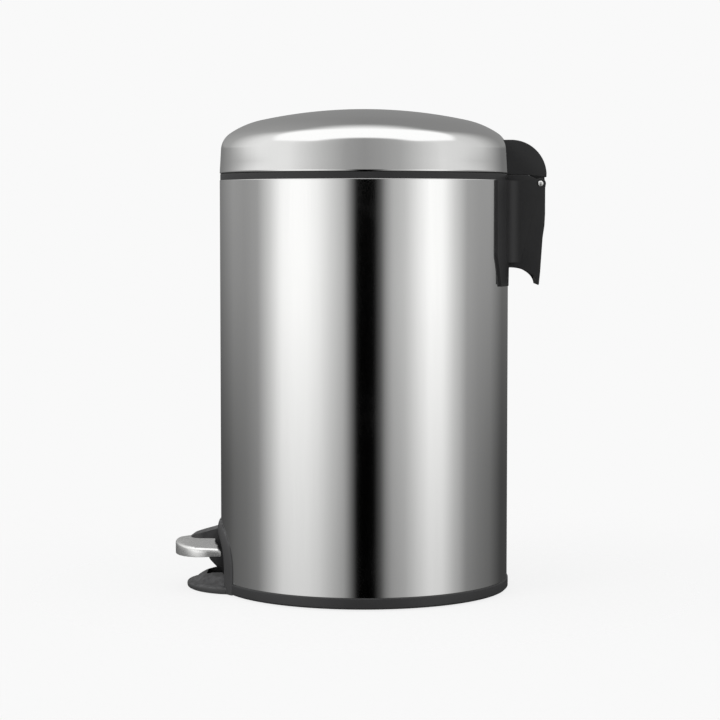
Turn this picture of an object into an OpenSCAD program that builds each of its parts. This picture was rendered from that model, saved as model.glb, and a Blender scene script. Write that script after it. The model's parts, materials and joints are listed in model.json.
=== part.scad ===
// Round step-pedal waste bin: steel body, domed lid, lift-out bucket and a pedal linkage.
// The origin is on the floor under the body's axis. The pedal faces -Y and the hinge +Y.

/* [Body] */
// Outer diameter of the steel body
body_d = 250; // [205:1:320]
// Height of the steel body's top edge above the floor
body_h = 355; // [290:1:460]
// Thickness of the steel sheet in the body and the lid
steel_t = 0.8; // [0.6:0.1:1.2]
// Height of the base ring's top edge
ring_h = 10.6; // [9:0.1:14]
// How far the base ring stands out from the steel
ring_lip = 1; // [0.5:0.1:3]
// Height of the black collar between the body and the lid
collar_h = 5.7; // [4:0.1:9]
// Thickness of the rubber foot ring under the floor plate
foot_t = 3; // [2.2:0.1:4]

/* [Lid] */
// Height of the lid's straight side
lid_side_h = 18.7; // [14:0.1:26]
// Radius of the lid's shoulder
shoulder_r = 18; // [12:0.5:22]
// Radius of the band between shoulder and crown
haunch_r = 75; // [60:1:95]
// Radius of the lid's flat crown
crown_r = 420; // [360:5:600]
// Distance from the rim to the edge of the crown
crown_inset = 35; // [30:1:42]

/* [Hinge] */
// Distance of the hinge pin behind the steel body
hinge_back = 26.3; // [24:0.1:32]
// Depth of the hinge pin below the body's top edge
hinge_drop = 2.9; // [2:0.1:5]
// Diameter of the hinge pin
hinge_pin_d = 5; // [4:0.1:6]
// Width of the hinge housing and its cap
hinge_w = 50; // [46:1:70]
// Distance from the body's top edge down to the hinge housing's lower tip
housing_drop = 90.5; // [85:0.5:135]
// Outer radius of the hinge cap's back
cap_r = 30.5; // [29:0.5:33]
// Angle that the lid opens
lid_open = 72; // [60:1:74]

/* [Pedal] */
// Width of the pedal
pedal_w = 80; // [60:1:90]
// Distance from the steel body to the pedal's nose
pedal_reach = 40; // [34:1:50]
// Height of the pedal's crown above the floor
pedal_h = 44.5; // [42:0.5:48]
// Width of the pedal's black hump
hump_w = 24; // [18:1:27]
// Width of the opening in the pedal surround
mouth_w = 81; // [74:1:100]
// Height of the top of that opening
mouth_h = 53.5; // [53:0.5:64]
// Width of the surround's band beside the opening
band_w = 11; // [8:0.5:16]

/* [Linkage] */
// Diameter of the push rod
rod_d = 4.5; // [3.5:0.1:5]
// Distance of the push rod inside the steel body's outside
rod_inset = 8; // [7.5:0.1:9]
// Distance from the hinge pin to the push rod's upper stretch
crank_offset = 17; // [16:0.1:18]
// Thickness of the hinge arm and of the lever's rear bar
arm_t = 3; // [2:0.1:4]
// Height of the pedal's pivot axle
pivot_h = 26; // [25:0.5:28]
// Distance of the pivot axle behind the front of the steel body
pivot_back = 80; // [70:1:90]
// Diameter of the pivot axle
axle_d = 6; // [5:0.1:8]

/* [Bucket] */
// Wall thickness of the bucket
bucket_t = 1.6; // [1.2:0.1:2.5]
// Height of the bucket's underside above the floor
bucket_foot = 54; // [52:1:70]
// How much the bucket narrows from top to bottom, on the radius
bucket_taper = 9.5; // [5:0.5:14]
// Diameter of the bail's wire
bail_d = 3.6; // [3:0.1:4]

/* [Hidden] */
$fn = 96;
fit = 0.02;
run_fit = 0.05;
gap = 0.15;
clear = 0.3;
bend_swell = 0.3;

body_r = body_d / 2;
inner_r = body_r - steel_t;
liner_r = inner_r - 0.05;
skin_r = body_r + 0.05;

// Base
floor_z = foot_t;
floor_t = 2.5;
floor_top = floor_z + floor_t;
spigot_top = ring_h + 11.4;
spigot_r = liner_r - 2.65;
ring_r = body_r + ring_lip;

// Collar and bucket rim
collar_top = body_h + collar_h;
collar_r = body_r - 0.4;
collar_in = body_r - 4;
ledge_z = body_h - 5.5;
ledge_t = 2;
rim_r = collar_in - 0.6;
rim_t = 2.4;
rim_top = ledge_z + rim_t;
bucket_top_r = body_r - 11.5;
ledge_in = bucket_top_r + 2.5;

// Lid
lid_z = collar_top + clear;
lid_ring_h = 5.8;
lid_ring_in = collar_in + 0.2;
shoulder_z = lid_z + lid_side_h;
crown_edge = body_r - crown_inset;
crown_a = asin(crown_edge / crown_r);
haunch_x = (crown_r - haunch_r) * sin(crown_a);
haunch_a = asin((body_r - shoulder_r - haunch_x) / (haunch_r - shoulder_r));
haunch_z = shoulder_z - (haunch_r - shoulder_r) * cos(haunch_a);
crown_z = haunch_z - (crown_r - haunch_r) * cos(crown_a);

// Hinge
hinge_y = body_r + hinge_back;
hinge_z = body_h - hinge_drop;
pin_r = hinge_pin_d / 2;
half_w = hinge_w / 2;
side_t = 2.6;
cavity_w = half_w - side_t;
knuckle_r = pin_r + 2.1;
ear_t = 5.2;
ear_out = cavity_w - 0.2;
ear_in = ear_out - ear_t;
hub_w = 6;
hub_r = pin_r + 3;
cap_y = body_r + 1;
cap_z = lid_z - 2;
cap_t = 2.3;
flange_t = 2;
flange_r = body_r + flange_t;
flange_w = half_w + 29;
housing_foot = body_h - housing_drop;
web_z = housing_foot + 38;
web_t = 2;
flare_r = 12;
boss_x = cavity_w - 3.8;
boss_r = 4;
boss_low_z = web_z + web_t + 6;
boss_high_z = boss_low_z + 28;
boss_end = body_r + 10;
screw_r = 2;
head_r = 3.8;
head_t = 2.4;
plate_in = liner_r - 1.75;
plate_w = cavity_w + 8;

// Lid fixings
lid_screw_z = lid_z + 10;
arm_screw_x = 9;
cap_screw_x = cavity_w - 3.4;
lid_plate_in = liner_r - 1.95;
lid_plate_low = lid_z + lid_ring_h + 0.2;
arm_flange_w = 14;
arm_flange_h = 7;

// Linkage: the crank swings the same angle above and below level
crank_a = lid_open / 2;
rod_r = rod_d / 2;
rod_y = body_r - rod_inset;
rod_x = -arm_t / 2 - rod_r - 1.25;
rod_top_y = hinge_y - crank_offset;
rod_top_z = hinge_z - crank_offset * tan(crank_a);
rod_travel = 2 * crank_offset * tan(crank_a);
rod_tip_x = arm_t / 2 + 2.1;
joggle_low = web_z + web_t + 2;
joggle_high = joggle_low + 12;
fork_r = crank_offset / cos(crank_a) + rod_r + 0.2;
fork_slot = rod_d + 1.5;
fork_w = fork_slot + 6;
pivot_y = pivot_back - body_r;
rear_arm = rod_y - pivot_y;
lever_a = atan(rod_travel / 2 / rear_arm);
rod_low_z = pivot_h - rod_travel / 2;
eye_r = rod_r + 0.25;
slot_half = rod_r + 2.25;
axle_r = axle_d / 2;
bush_r = axle_r + 1.5;
cheek_in = 12.8;
cheek_t = 2.2;
channel_w = 11;
channel_t = 2.4;
channel_top = pivot_h + 6;
channel_front = 10 - body_r;
channel_back = pivot_y + 23;
axle_end = cheek_in + cheek_t + 2.4;

// Pedal
nose_y = -body_r - pedal_reach;
pedal_half = pedal_w / 2;
nose_depth = 31;
pedal_mid_y = nose_y + nose_depth;
pedal_back_r = body_r + 4.5;
crown_ball = 180;
crown_ball_y = nose_y + 28;
skin_t = 1.2;
pedal_low_nose = pedal_h - 13.2;
pedal_low_back = pedal_h - 11;
hump_half = hump_w / 2;
hump_tip_y = -body_r - 26.5;
sill_z = 14.5;
mouth_mid_z = 20;
mouth_half = mouth_w / 2;
surround_half = mouth_half + band_w;
surround_top = mouth_h + 6.5;
mouth_power = 2.4;
sleeve_t = 2;
toe_nose_y = -body_r - 30;
toe_mid_y = -body_r + 17;
toe_half = surround_half - 1.5;
toe_low = 1;
toe_nose_h = 6;
pocket_half = hump_half + 3;
pocket_z = 5;

// Bail
bail_r = bail_d / 2;
grip_r = bail_r + 1.2;
bail_ring_r = rim_r - grip_r - 0.05;
bail_z = rim_top + clear + grip_r;
lug_out = bail_ring_r - bail_r - clear;
lug_t = 2.2;
lug_r = 3.6;

// ---- Outlines ----

function arc(c, r, a0, a1, n) =
    [for (i = [0:n]) let (a = a0 + (a1 - a0) * i / n) c + r * [cos(a), sin(a)]];

function reversed(p) = [for (i = [len(p) - 1:-1:0]) p[i]];

function power(v, e) = sign(v) * pow(abs(v), e);

// The lid's section from rim to apex, drawn in by a wall thickness
function lid_curve(t) = concat(
    [[body_r - t, lid_z]],
    arc([body_r - shoulder_r, shoulder_z], shoulder_r - t, 0, 90 - haunch_a, 10),
    arc([haunch_x, haunch_z], haunch_r - t, 90 - haunch_a, 90 - crown_a, 8),
    arc([0, crown_z], crown_r - t, 90 - crown_a, 90, 8)
);

// An arch with a rounded square top and straight legs
function arch(w, top, low) = concat(
    [[w, low]],
    [for (i = [0:32]) let (a = 180 * i / 32)
        [w * power(cos(a), 2 / mouth_power),
         mouth_mid_z + (top - mouth_mid_z) * power(sin(a), 2 / mouth_power)]],
    [[-w, low]]
);

// The pedal seen from above: straight sides, a half ellipse at the nose
function pedal_plan(inset) = concat(
    [[pedal_half - inset, 0]],
    [for (i = [0:32]) let (a = -180 * i / 32)
        [(pedal_half - inset) * cos(a), pedal_mid_y + (nose_depth - inset) * sin(a)]],
    [[inset - pedal_half, 0]]
);

function toe_plan() = [for (i = [0:48]) let (a = 180 + 180 * i / 48)
    [toe_half * cos(a), toe_mid_y + (toe_mid_y - toe_nose_y) * sin(a)]];

// The hinge housing's back edge from the knuckle down to its lower tip
function housing_back() = [
    [hinge_y + 4, hinge_z - 3], [hinge_y + 4, web_z + 23.5], [hinge_y + 3.5, web_z + 13.5],
    [hinge_y + 2, web_z + 3.5], [hinge_y + 1, web_z - 11.5], [hinge_y, web_z - 26.5],
    [hinge_y - 1, web_z - 36.5], [hinge_y - 2, housing_foot]
];

// The arch under the housing, from the steel to the tip
function housing_arch() = [for (i = [0:16]) let (a = 90 - 90 * i / 16)
    [body_r + (hinge_back - 2) * cos(a), housing_foot + 15.7 * sin(a)]];

// ---- Shapes that repeat ----

module tube(r_out, r_in, z0, z1) {
    translate([0, 0, z0]) difference() {
        cylinder(r = r_out, h = z1 - z0, $fn = 180);
        translate([0, 0, -1]) cylinder(r = r_in, h = z1 - z0 + 2, $fn = 180);
    }
}

module block(x, y, z) {
    translate([x[0], y[0], z[0]]) cube([x[1] - x[0], y[1] - y[0], z[1] - z[0]]);
}

// A section drawn in Y and Z, pushed along X
module side_prism(x0, x1) {
    translate([x0, 0, 0]) rotate([90, 0, 90]) linear_extrude(height = x1 - x0) children();
}

// An outline drawn in X and Z, pushed along Y
module front_prism(y0, y1) {
    translate([0, y1, 0]) rotate([90, 0, 0]) linear_extrude(height = y1 - y0) children();
}

module x_rod(x0, x1, y, z, r) {
    translate([x0, y, z]) rotate([0, 90, 0]) cylinder(r = r, h = x1 - x0);
}

module y_rod(x, y0, y1, z, r) {
    translate([x, y0, z]) rotate([-90, 0, 0]) cylinder(r = r, h = y1 - y0);
}

module wire(a, b, r) {
    d = b - a;
    len_d = norm(d);
    translate(a) rotate([0, acos(d[2] / len_d), atan2(d[1], d[0])]) cylinder(r = r, h = len_d);
}

// A pan-head screw along Y; its head's seat is at y_seat and it points to y_tip
module y_screw(x, y_seat, y_tip, z, shank, head, head_h) {
    dir = sign(y_tip - y_seat);
    y_root = y_seat - dir * head_h * 0.3;
    difference() {
        union() {
            y_rod(x, min(y_root, y_tip), max(y_root, y_tip), z, shank);
            y_rod(x, min(y_seat, y_seat - dir * head_h), max(y_seat, y_seat - dir * head_h), z, head);
        }
        block([x - head * 0.6, x + head * 0.6],
              [min(y_seat - dir * head_h * 0.5, y_seat - dir * head_h * 2),
               max(y_seat - dir * head_h * 0.5, y_seat - dir * head_h * 2)],
              [z - 0.4, z + 0.4]);
    }
}

// The Y at which a flat screw head seats against a round wall
function seat_y(r, x, head) = sqrt(r * r - (abs(x) + head) * (abs(x) + head));

// ---- Body ----

module mouth_cut(grow) {
    front_prism(-body_r - 20, -body_r + 20)
        polygon(arch(mouth_half + grow, mouth_h + grow, sill_z - grow));
}

module housing_screw_at() {
    for (x = [-boss_x, boss_x], z = [boss_low_z, boss_high_z]) translate([x, 0, z]) children();
}

module rod_slot(y0, y1, low) {
    block([rod_x - slot_half, rod_x + slot_half], [y0, y1], [low, body_h - 11]);
}

module body_shell() {
    color("silver") difference() {
        tube(body_r, inner_r, ring_h, body_h);
        mouth_cut(sleeve_t + 0.2);
        block([-mouth_half - sleeve_t - 0.2, mouth_half + sleeve_t + 0.2],
              [-body_r - 5, -body_r / 2], [ring_h - 1, mouth_mid_z]);
        rod_slot(body_r - 5, body_r + 5, web_z + 1);
        housing_screw_at() y_rod(0, body_r - 15, body_r + 5, 0, screw_r + 0.2);
    }
}

module top_collar() {
    color("dimgray") {
        rotate_extrude($fn = 180) polygon([
            [ledge_in, ledge_z - ledge_t], [inner_r - 2, ledge_z - ledge_t],
            [inner_r - 2, body_h - 9], [liner_r, body_h - 9], [liner_r, body_h],
            [collar_r, body_h], [collar_r, collar_top - 0.8], [collar_r - 0.8, collar_top],
            [collar_in, collar_top], [collar_in, ledge_z], [ledge_in, ledge_z]
        ]);
    }
}

module surround_screw_at() {
    for (x = [-mouth_half + 10.5, mouth_half - 10.5]) translate([x, 0, ring_h - 1.8]) children();
}

surround_screw_seat = -seat_y(spigot_r, mouth_half - 10.5, 2.8);

module base_ring() {
    color("dimgray") difference() {
        rotate_extrude($fn = 180) polygon([
            [0, floor_z], [spigot_r - 0.5, floor_z], [spigot_r, toe_low + 0.2],
            [ring_r - 1.2, toe_low + 0.2], [ring_r, toe_low + 1.4], [ring_r, ring_h],
            [liner_r, ring_h], [liner_r, spigot_top], [spigot_r, spigot_top],
            [spigot_r, floor_top], [0, floor_top]
        ]);
        difference() {
            block([-surround_half - 0.2, surround_half + 0.2], [-body_r * 1.2, -body_r / 2],
                  [0, spigot_top]);
            cylinder(r = liner_r, h = body_h, $fn = 180);
        }
        block([-mouth_half - 4.5, mouth_half + 4.5], [-body_r * 1.2, -body_r / 2],
              [ring_h, spigot_top + 1]);
        block([-pocket_half, pocket_half], [-body_r * 1.2, -body_r + 8], [floor_top, ring_h + 1]);
        block([-arm_t - 4, arm_t + 4], [body_r - 9, liner_r - 1], [floor_top, spigot_top + 1]);
        surround_screw_at() y_rod(0, -body_r, -body_r + 20, 0, 1.5 + fit);
        surround_screw_at() y_rod(0, surround_screw_seat, -body_r + 20, 0, 2.8 + gap);
        for (x = [-19.5, 19.5], y = [-11, 11])
            translate([x, pivot_y + y, 0]) cylinder(r = 1.6 + fit, h = floor_top + 1);
    }
}

module foot_ring() {
    color("black") tube(body_r - 6, body_r - 13, 0, floor_z);
}

module pedal_surround() {
    color("dimgray") difference() {
        union() {
            for (i = [0:2]) intersection() {
                front_prism(-body_r - 10, -body_r / 2)
                    polygon(arch(surround_half - 2.5 * i, surround_top - 2.5 * i, toe_low));
                tube(body_r + 1 + i, skin_r, toe_low, surround_top);
            }
            intersection() {
                mouth_cut(sleeve_t);
                tube(body_r + 3, inner_r - 2.5, ring_h + 0.05, surround_top);
            }
            intersection() {
                translate([0, 0, toe_low]) linear_extrude(height = sill_z)
                    polygon(toe_plan());
                side_prism(-toe_half, toe_half) polygon([
                    [toe_nose_y, toe_low + 1.5], [toe_nose_y + 1.5, toe_low],
                    [0, toe_low], [0, sill_z], [-body_r - 4, sill_z],
                    [toe_nose_y + 2.5, toe_low + toe_nose_h], [toe_nose_y, toe_low + toe_nose_h - 2.5]
                ]);
                union() {
                    tube(body_r * 1.5, liner_r + 0.1, 0, ring_h - 0.05);
                    tube(body_r * 1.5, skin_r, ring_h - 0.1, sill_z);
                }
            }
        }
        mouth_cut(0);
        block([-pocket_half, pocket_half], [-body_r - 12, -body_r + 10], [pocket_z, sill_z + 5]);
        block([-surround_half, surround_half], [-inner_r - 0.1, 0], [toe_low - 1, ring_h]);
        surround_screw_at() y_rod(0, -body_r - 3.5, -body_r + 20, 0, 1.5 + fit);
    }
}

module surround_screws() {
    color("silver") for (x = [-mouth_half + 10.5, mouth_half - 10.5])
        y_screw(x, surround_screw_seat, -body_r - 3, ring_h - 1.8, 1.5, 2.8, 1.8);
}

// ---- Hinge housing ----

module housing_side() {
    polygon(concat(
        [[body_r - 2, hinge_z + 7.5], [hinge_y - 10, hinge_z + 7], [hinge_y - 3.4, hinge_z + 3.1]],
        housing_back(), reversed(housing_arch()), [[body_r - 2, housing_foot + 15.7]]
    ));
    translate([hinge_y, hinge_z]) circle(r = knuckle_r);
}

// The space inside the housing's back wall
module housing_hollow(low, high) {
    intersection() {
        polygon(concat(
            [[body_r - 3, hinge_z - 7.5], [hinge_y + 2, hinge_z - 7.5]],
            [for (p = housing_back()) if (p[1] < hinge_z - 8) p - [2, 0]],
            [[hinge_y - 4, housing_foot - 1], [body_r - 3, housing_foot - 1]]
        ));
        translate([0, low]) square([hinge_y * 2, high - low]);
    }
}

module housing_flange() {
    intersection() {
        tube(flange_r, skin_r, housing_foot, body_h);
        front_prism(0, body_r * 2) polygon([
            [-flange_w, body_h + 1], [-flange_w, web_z - 12], [3 - flange_w, web_z - 21],
            [8 - flange_w, housing_foot - 1], [-half_w - 2, housing_foot - 1],
            [-half_w - 0.5, housing_foot + 15.7], [half_w + 0.5, housing_foot + 15.7],
            [half_w + 2, housing_foot - 1], [flange_w - 8, housing_foot - 1],
            [flange_w - 3, web_z - 21], [flange_w, web_z - 12], [flange_w, body_h + 1]
        ]);
    }
}

// A hollow curve that leads the housing's side into the flange
module housing_flare(side) {
    c = [side * (half_w + flare_r), sqrt(pow(flange_r + flare_r, 2) - pow(half_w + flare_r, 2))];
    translate([0, 0, web_z - 18]) linear_extrude(height = body_h - web_z + 18) difference() {
        translate([side > 0 ? half_w - 1 : -half_w - flare_r, body_r / 2])
            square([flare_r + 1, c[1] - body_r / 2]);
        translate(c) circle(r = flare_r, $fn = 96);
        circle(r = skin_r, $fn = 180);
    }
}

module hinge_housing() {
    knuckle_out = ear_in - 0.2;
    knuckle_in = hub_w + 0.4;
    color("dimgray") difference() {
        union() {
            difference() {
                side_prism(-half_w, half_w) housing_side();
                side_prism(-cavity_w, cavity_w) housing_hollow(web_z + web_t, hinge_z);
                side_prism(-cavity_w, cavity_w) housing_hollow(housing_foot - 1, web_z);
                side_prism(-cavity_w, cavity_w)
                    translate([body_r - 3, hinge_z - 7.5]) square([hinge_back + 12, 30]);
            }
            for (side = [-1, 1]) {
                x0 = side > 0 ? knuckle_in : -knuckle_out;
                side_prism(x0, x0 + knuckle_out - knuckle_in) {
                    translate([hinge_y, hinge_z]) circle(r = knuckle_r);
                    translate([hinge_y - 2, hinge_z - 10]) square([6, 10]);
                }
                housing_flare(side);
            }
            difference() {
                housing_flange();
                block([-cavity_w, cavity_w], [0, body_r * 2], [0, body_h + 1]);
            }
            block([-half_w + 0.5, half_w - 0.5], [body_r - 5, body_r + 4], [web_z, web_z + web_t]);
            housing_screw_at() y_rod(0, body_r - 5, boss_end, 0, boss_r);
        }
        cylinder(r = skin_r, h = body_h * 2, $fn = 180);
        x_rod(-half_w - 1, half_w + 1, hinge_y, hinge_z, pin_r + fit);
        housing_screw_at() y_rod(0, body_r - 5, boss_end - 1, 0, screw_r + fit);
    }
}

housing_screw_seat = seat_y(plate_in, boss_x, head_r);

module clamp_plate() {
    color("gainsboro") difference() {
        intersection() {
            tube(liner_r, plate_in, web_z - 4, body_h - 11);
            block([-plate_w, plate_w], [0, body_r], [0, body_h]);
        }
        rod_slot(0, body_r * 2, web_z + 1);
        housing_screw_at() y_rod(0, body_r - 20, body_r + 5, 0, screw_r + 0.1);
        housing_screw_at() y_rod(0, body_r - 20, housing_screw_seat, 0, head_r + 0.2);
    }
}

module housing_screws() {
    color("silver") for (x = [-boss_x, boss_x], z = [boss_low_z, boss_high_z])
        y_screw(x, housing_screw_seat, boss_end - 2, z, screw_r, head_r, head_t);
}

module hinge_pin() {
    color("silver") x_rod(-half_w - 0.3, half_w + 0.3, hinge_y, hinge_z, pin_r);
}

// ---- Guides and pivot ----

module rod_guide(z) {
    difference() {
        intersection() {
            block([rod_x - 6, rod_x + 6], [rod_y - rod_r - 1.4, body_r], [z, z + 12]);
            cylinder(r = liner_r, h = body_h, $fn = 180);
        }
        translate([rod_x, rod_y, 0]) cylinder(r = rod_r + 0.08, h = body_h);
    }
}

module rod_guide_upper() {
    color("ivory") rod_guide(web_z - 32);
}

module rod_guide_lower() {
    color("ivory") rod_guide(bucket_foot + 16);
}

module bracket_screw_at() {
    for (x = [-19.5, 19.5], y = [-11, 11]) translate([x, pivot_y + y, 0]) children();
}

module pivot_bracket() {
    color("gainsboro") difference() {
        union() {
            block([-24, 24], [pivot_y - 16, pivot_y + 16], [floor_top, floor_top + 2]);
            for (x = [cheek_in, -cheek_in - cheek_t]) side_prism(x, x + cheek_t) {
                translate([pivot_y, pivot_h]) circle(r = axle_r + 4);
                polygon([
                    [pivot_y - 12, floor_top], [pivot_y + 12, floor_top],
                    [pivot_y + axle_r + 3.9, pivot_h], [pivot_y - axle_r - 3.9, pivot_h]
                ]);
            }
        }
        x_rod(-cheek_in - 5, cheek_in + 5, pivot_y, pivot_h, axle_r + fit);
        bracket_screw_at() cylinder(r = 1.6 + fit, h = floor_top + 5);
    }
}

module bracket_screws() {
    color("silver") bracket_screw_at() difference() {
        union() {
            translate([0, 0, floor_z + 0.2]) cylinder(r = 1.6, h = floor_t + 2);
            translate([0, 0, floor_top + 2]) cylinder(r = 3, h = 2);
        }
        block([-1.8, 1.8], [-0.4, 0.4], [floor_top + 3, floor_top + 5]);
    }
}

module pivot_axle() {
    color("silver") difference() {
        x_rod(-axle_end, axle_end, pivot_y, pivot_h, axle_r);
        for (x = [-axle_end + 0.7, axle_end - 1.7]) difference() {
            x_rod(x, x + 1, pivot_y, pivot_h, axle_r + 1);
            x_rod(x - 1, x + 2, pivot_y, pivot_h, axle_r - 0.6);
        }
    }
}

module axle_clips() {
    color("gray") for (x = [-axle_end + 0.8, axle_end - 1.6]) difference() {
        x_rod(x, x + 0.8, pivot_y, pivot_h, axle_r + 2.5);
        x_rod(x - 1, x + 2, pivot_y, pivot_h, axle_r - 0.6 + fit);
        block([x - 1, x + 2], [pivot_y - 1.6, pivot_y + 1.6], [pivot_h - axle_r - 4, pivot_h]);
    }
}

// ---- Lid ----

module lid_solid() {
    rotate_extrude($fn = 180) polygon(concat(lid_curve(-0.05), [[0, lid_z]]));
}

module lid_screw_at() {
    for (x = [-cap_screw_x, -arm_screw_x, arm_screw_x, cap_screw_x])
        translate([x, 0, lid_screw_z]) children();
}

module lid_dome() {
    color("silver") difference() {
        rotate_extrude($fn = 180) polygon(concat(lid_curve(0), reversed(lid_curve(steel_t))));
        lid_screw_at() y_rod(0, body_r - 15, body_r + 5, 0, screw_r + 0.1);
    }
}

module buffer_pad(low, high, inset) {
    for (a = [270, 30, 150]) rotate([0, 0, a - 3]) rotate_extrude(angle = 6, $fn = 180)
        translate([lid_ring_in + inset, low]) square([liner_r - lid_ring_in - 2 * inset, high - low]);
}

module lid_ring() {
    color("dimgray") difference() {
        tube(liner_r, lid_ring_in, lid_z + 0.2, lid_z + lid_ring_h);
        buffer_pad(lid_z - 1, lid_z + 1.2, 0.5);
    }
}

module lid_buffers() {
    color("black") buffer_pad(collar_top + 0.1, lid_z + 1.2, 0.5);
}

module cap_outline(t, low) {
    intersection() {
        union() {
            translate([cap_y, cap_z]) circle(r = cap_r - t);
            translate([body_r - 12, cap_z]) square([13, cap_r - t]);
            translate([cap_y, hinge_z - 1]) square([cap_r - t, cap_z - hinge_z + 1.02]);
        }
        polygon([
            [body_r - 12, hinge_z + 8.5 + low], [hinge_y - 10, hinge_z + 7.9 + low],
            [hinge_y + 12, hinge_z + 4.2 + low], [hinge_y + 12, lid_z * 2], [body_r - 12, lid_z * 2]
        ]);
    }
}

module cap_ear() {
    translate([hinge_y, hinge_z]) circle(r = knuckle_r);
    polygon([
        [hinge_y - knuckle_r + 0.2, hinge_z + 1], [hinge_y - 10.3, hinge_z + 10],
        [hinge_y - 10.3, hinge_z + 30], [hinge_y - 1, hinge_z + 20],
        [hinge_y + knuckle_r - 0.2, hinge_z + 1]
    ]);
}

module hinge_cap() {
    color("dimgray") difference() {
        union() {
            difference() {
                side_prism(-half_w, half_w) cap_outline(0, 0);
                side_prism(-cavity_w + 0.4, cavity_w - 0.4) intersection() {
                    cap_outline(cap_t, -2);
                    translate([body_r + 2.4, 0]) square([cap_r * 2, lid_z * 2]);
                }
            }
            for (x = [ear_in, -ear_out]) intersection() {
                side_prism(x, x + ear_t) cap_ear();
                side_prism(-half_w, half_w) union() {
                    cap_outline(0.5, -2);
                    translate([hinge_y - 11, hinge_z - 6]) square([11 + knuckle_r, 14]);
                }
            }
            for (x = [ear_in, -cavity_w + 0.3]) intersection() {
                side_prism(x, x + ear_t + 0.3) cap_ear();
                side_prism(-half_w, half_w) cap_outline(0.5, 0);
            }
            for (x = [-cap_screw_x, cap_screw_x]) intersection() {
                y_rod(x, body_r - 5, body_r + 13, lid_screw_z, 3.6);
                side_prism(-half_w, half_w) cap_outline(0.5, 0);
            }
        }
        lid_solid();
        cylinder(r = skin_r, h = lid_z + 0.5, $fn = 180);
        block([-arm_flange_w - clear, arm_flange_w + clear], [body_r / 2, body_r + 2.5],
              [lid_screw_z - arm_flange_h - clear, lid_screw_z + arm_flange_h + clear]);
        x_rod(-half_w - 1, half_w + 1, hinge_y, hinge_z, pin_r + run_fit);
        for (x = [-cap_screw_x, cap_screw_x])
            y_rod(x, body_r - 5, body_r + 12, lid_screw_z, screw_r + fit);
    }
}

// One steel arm: the hub on the hinge pin, the fork that takes the push rod, and the lid's flange
module hinge_arm() {
    color("gray") difference() {
        union() {
            x_rod(-hub_w, hub_w, hinge_y, hinge_z, hub_r);
            side_prism(-arm_t / 2, arm_t / 2) {
                translate([hinge_y, hinge_z]) rotate(180 + crank_a) intersection() {
                    translate([0, -fork_w / 2]) square([fork_r, fork_w]);
                    circle(r = fork_r);
                }
                polygon([
                    [hinge_y + 1.5, hinge_z + 5], [hinge_y - 5.5, hinge_z + 19],
                    [body_r + 1.5, lid_screw_z + arm_flange_h], [body_r + 1.5, lid_screw_z - arm_flange_h],
                    [hinge_y - 10, hinge_z + 10], [hinge_y - 5, hinge_z - 1]
                ]);
            }
            intersection() {
                tube(body_r + 2, skin_r, lid_screw_z - arm_flange_h, lid_screw_z + arm_flange_h);
                block([-arm_flange_w, arm_flange_w], [0, body_r * 2], [0, lid_z * 2]);
            }
        }
        x_rod(-hub_w - 1, hub_w + 1, hinge_y, hinge_z, pin_r + run_fit);
        side_prism(-arm_t, arm_t) translate([hinge_y, hinge_z]) rotate(180 + crank_a)
            translate([crank_offset - rod_r - 1, -fork_slot / 2]) square([fork_r, fork_slot]);
        for (x = [-arm_screw_x, arm_screw_x])
            y_rod(x, body_r - 5, body_r + 5, lid_screw_z, screw_r + fit);
    }
}

function lid_seat(x) = seat_y(lid_plate_in, x, 3.4);

module backing_plate() {
    color("gainsboro") difference() {
        intersection() {
            tube(liner_r, lid_plate_in, lid_plate_low, lid_screw_z + arm_flange_h);
            block([-cap_screw_x - 7, cap_screw_x + 7], [0, body_r], [0, lid_z * 2]);
        }
        lid_screw_at() y_rod(0, body_r - 15, body_r + 5, 0, screw_r + fit);
        for (x = [-cap_screw_x, -arm_screw_x, arm_screw_x, cap_screw_x])
            y_rod(x, body_r - 20, lid_seat(x), lid_screw_z, 3.4 + 0.2);
    }
}

module cap_screws() {
    color("silver") {
        for (x = [-cap_screw_x, cap_screw_x])
            y_screw(x, lid_seat(x), body_r + 11, lid_screw_z, screw_r, 3.4, 2);
        for (x = [-arm_screw_x, arm_screw_x])
            y_screw(x, lid_seat(x), body_r + 4.5, lid_screw_z, screw_r, 3.4, 2);
    }
}

// ---- Pedal ----

// A solid with the pedal's outline and crowned top, drawn in by a wall thickness
module pedal_form(inset, low) {
    difference() {
        intersection() {
            linear_extrude(height = pedal_h + 5) polygon(pedal_plan(inset));
            translate([0, crown_ball_y, pedal_h - crown_ball]) sphere(r = crown_ball - inset, $fn = 180);
            side_prism(-pedal_half, pedal_half) polygon([
                [nose_y - 1, pedal_low_nose + low], [-body_r, pedal_low_back + low],
                [-body_r / 2, pedal_low_back + low], [-body_r / 2, pedal_h + 5],
                [nose_y - 1, pedal_h + 5]
            ]);
        }
        cylinder(r = pedal_back_r + inset, h = pedal_h * 2, $fn = 180);
    }
}

module hump_plan(grow) {
    translate([0, hump_tip_y + hump_half]) circle(r = hump_half + grow);
    translate([-hump_half - grow, hump_tip_y + hump_half])
        square([2 * (hump_half + grow), 30]);
}

module pedal_plate() {
    color("silver") difference() {
        pedal_form(0, 0);
        pedal_form(skin_t, -5);
        linear_extrude(height = pedal_h * 2) hump_plan(gap);
    }
}

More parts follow.
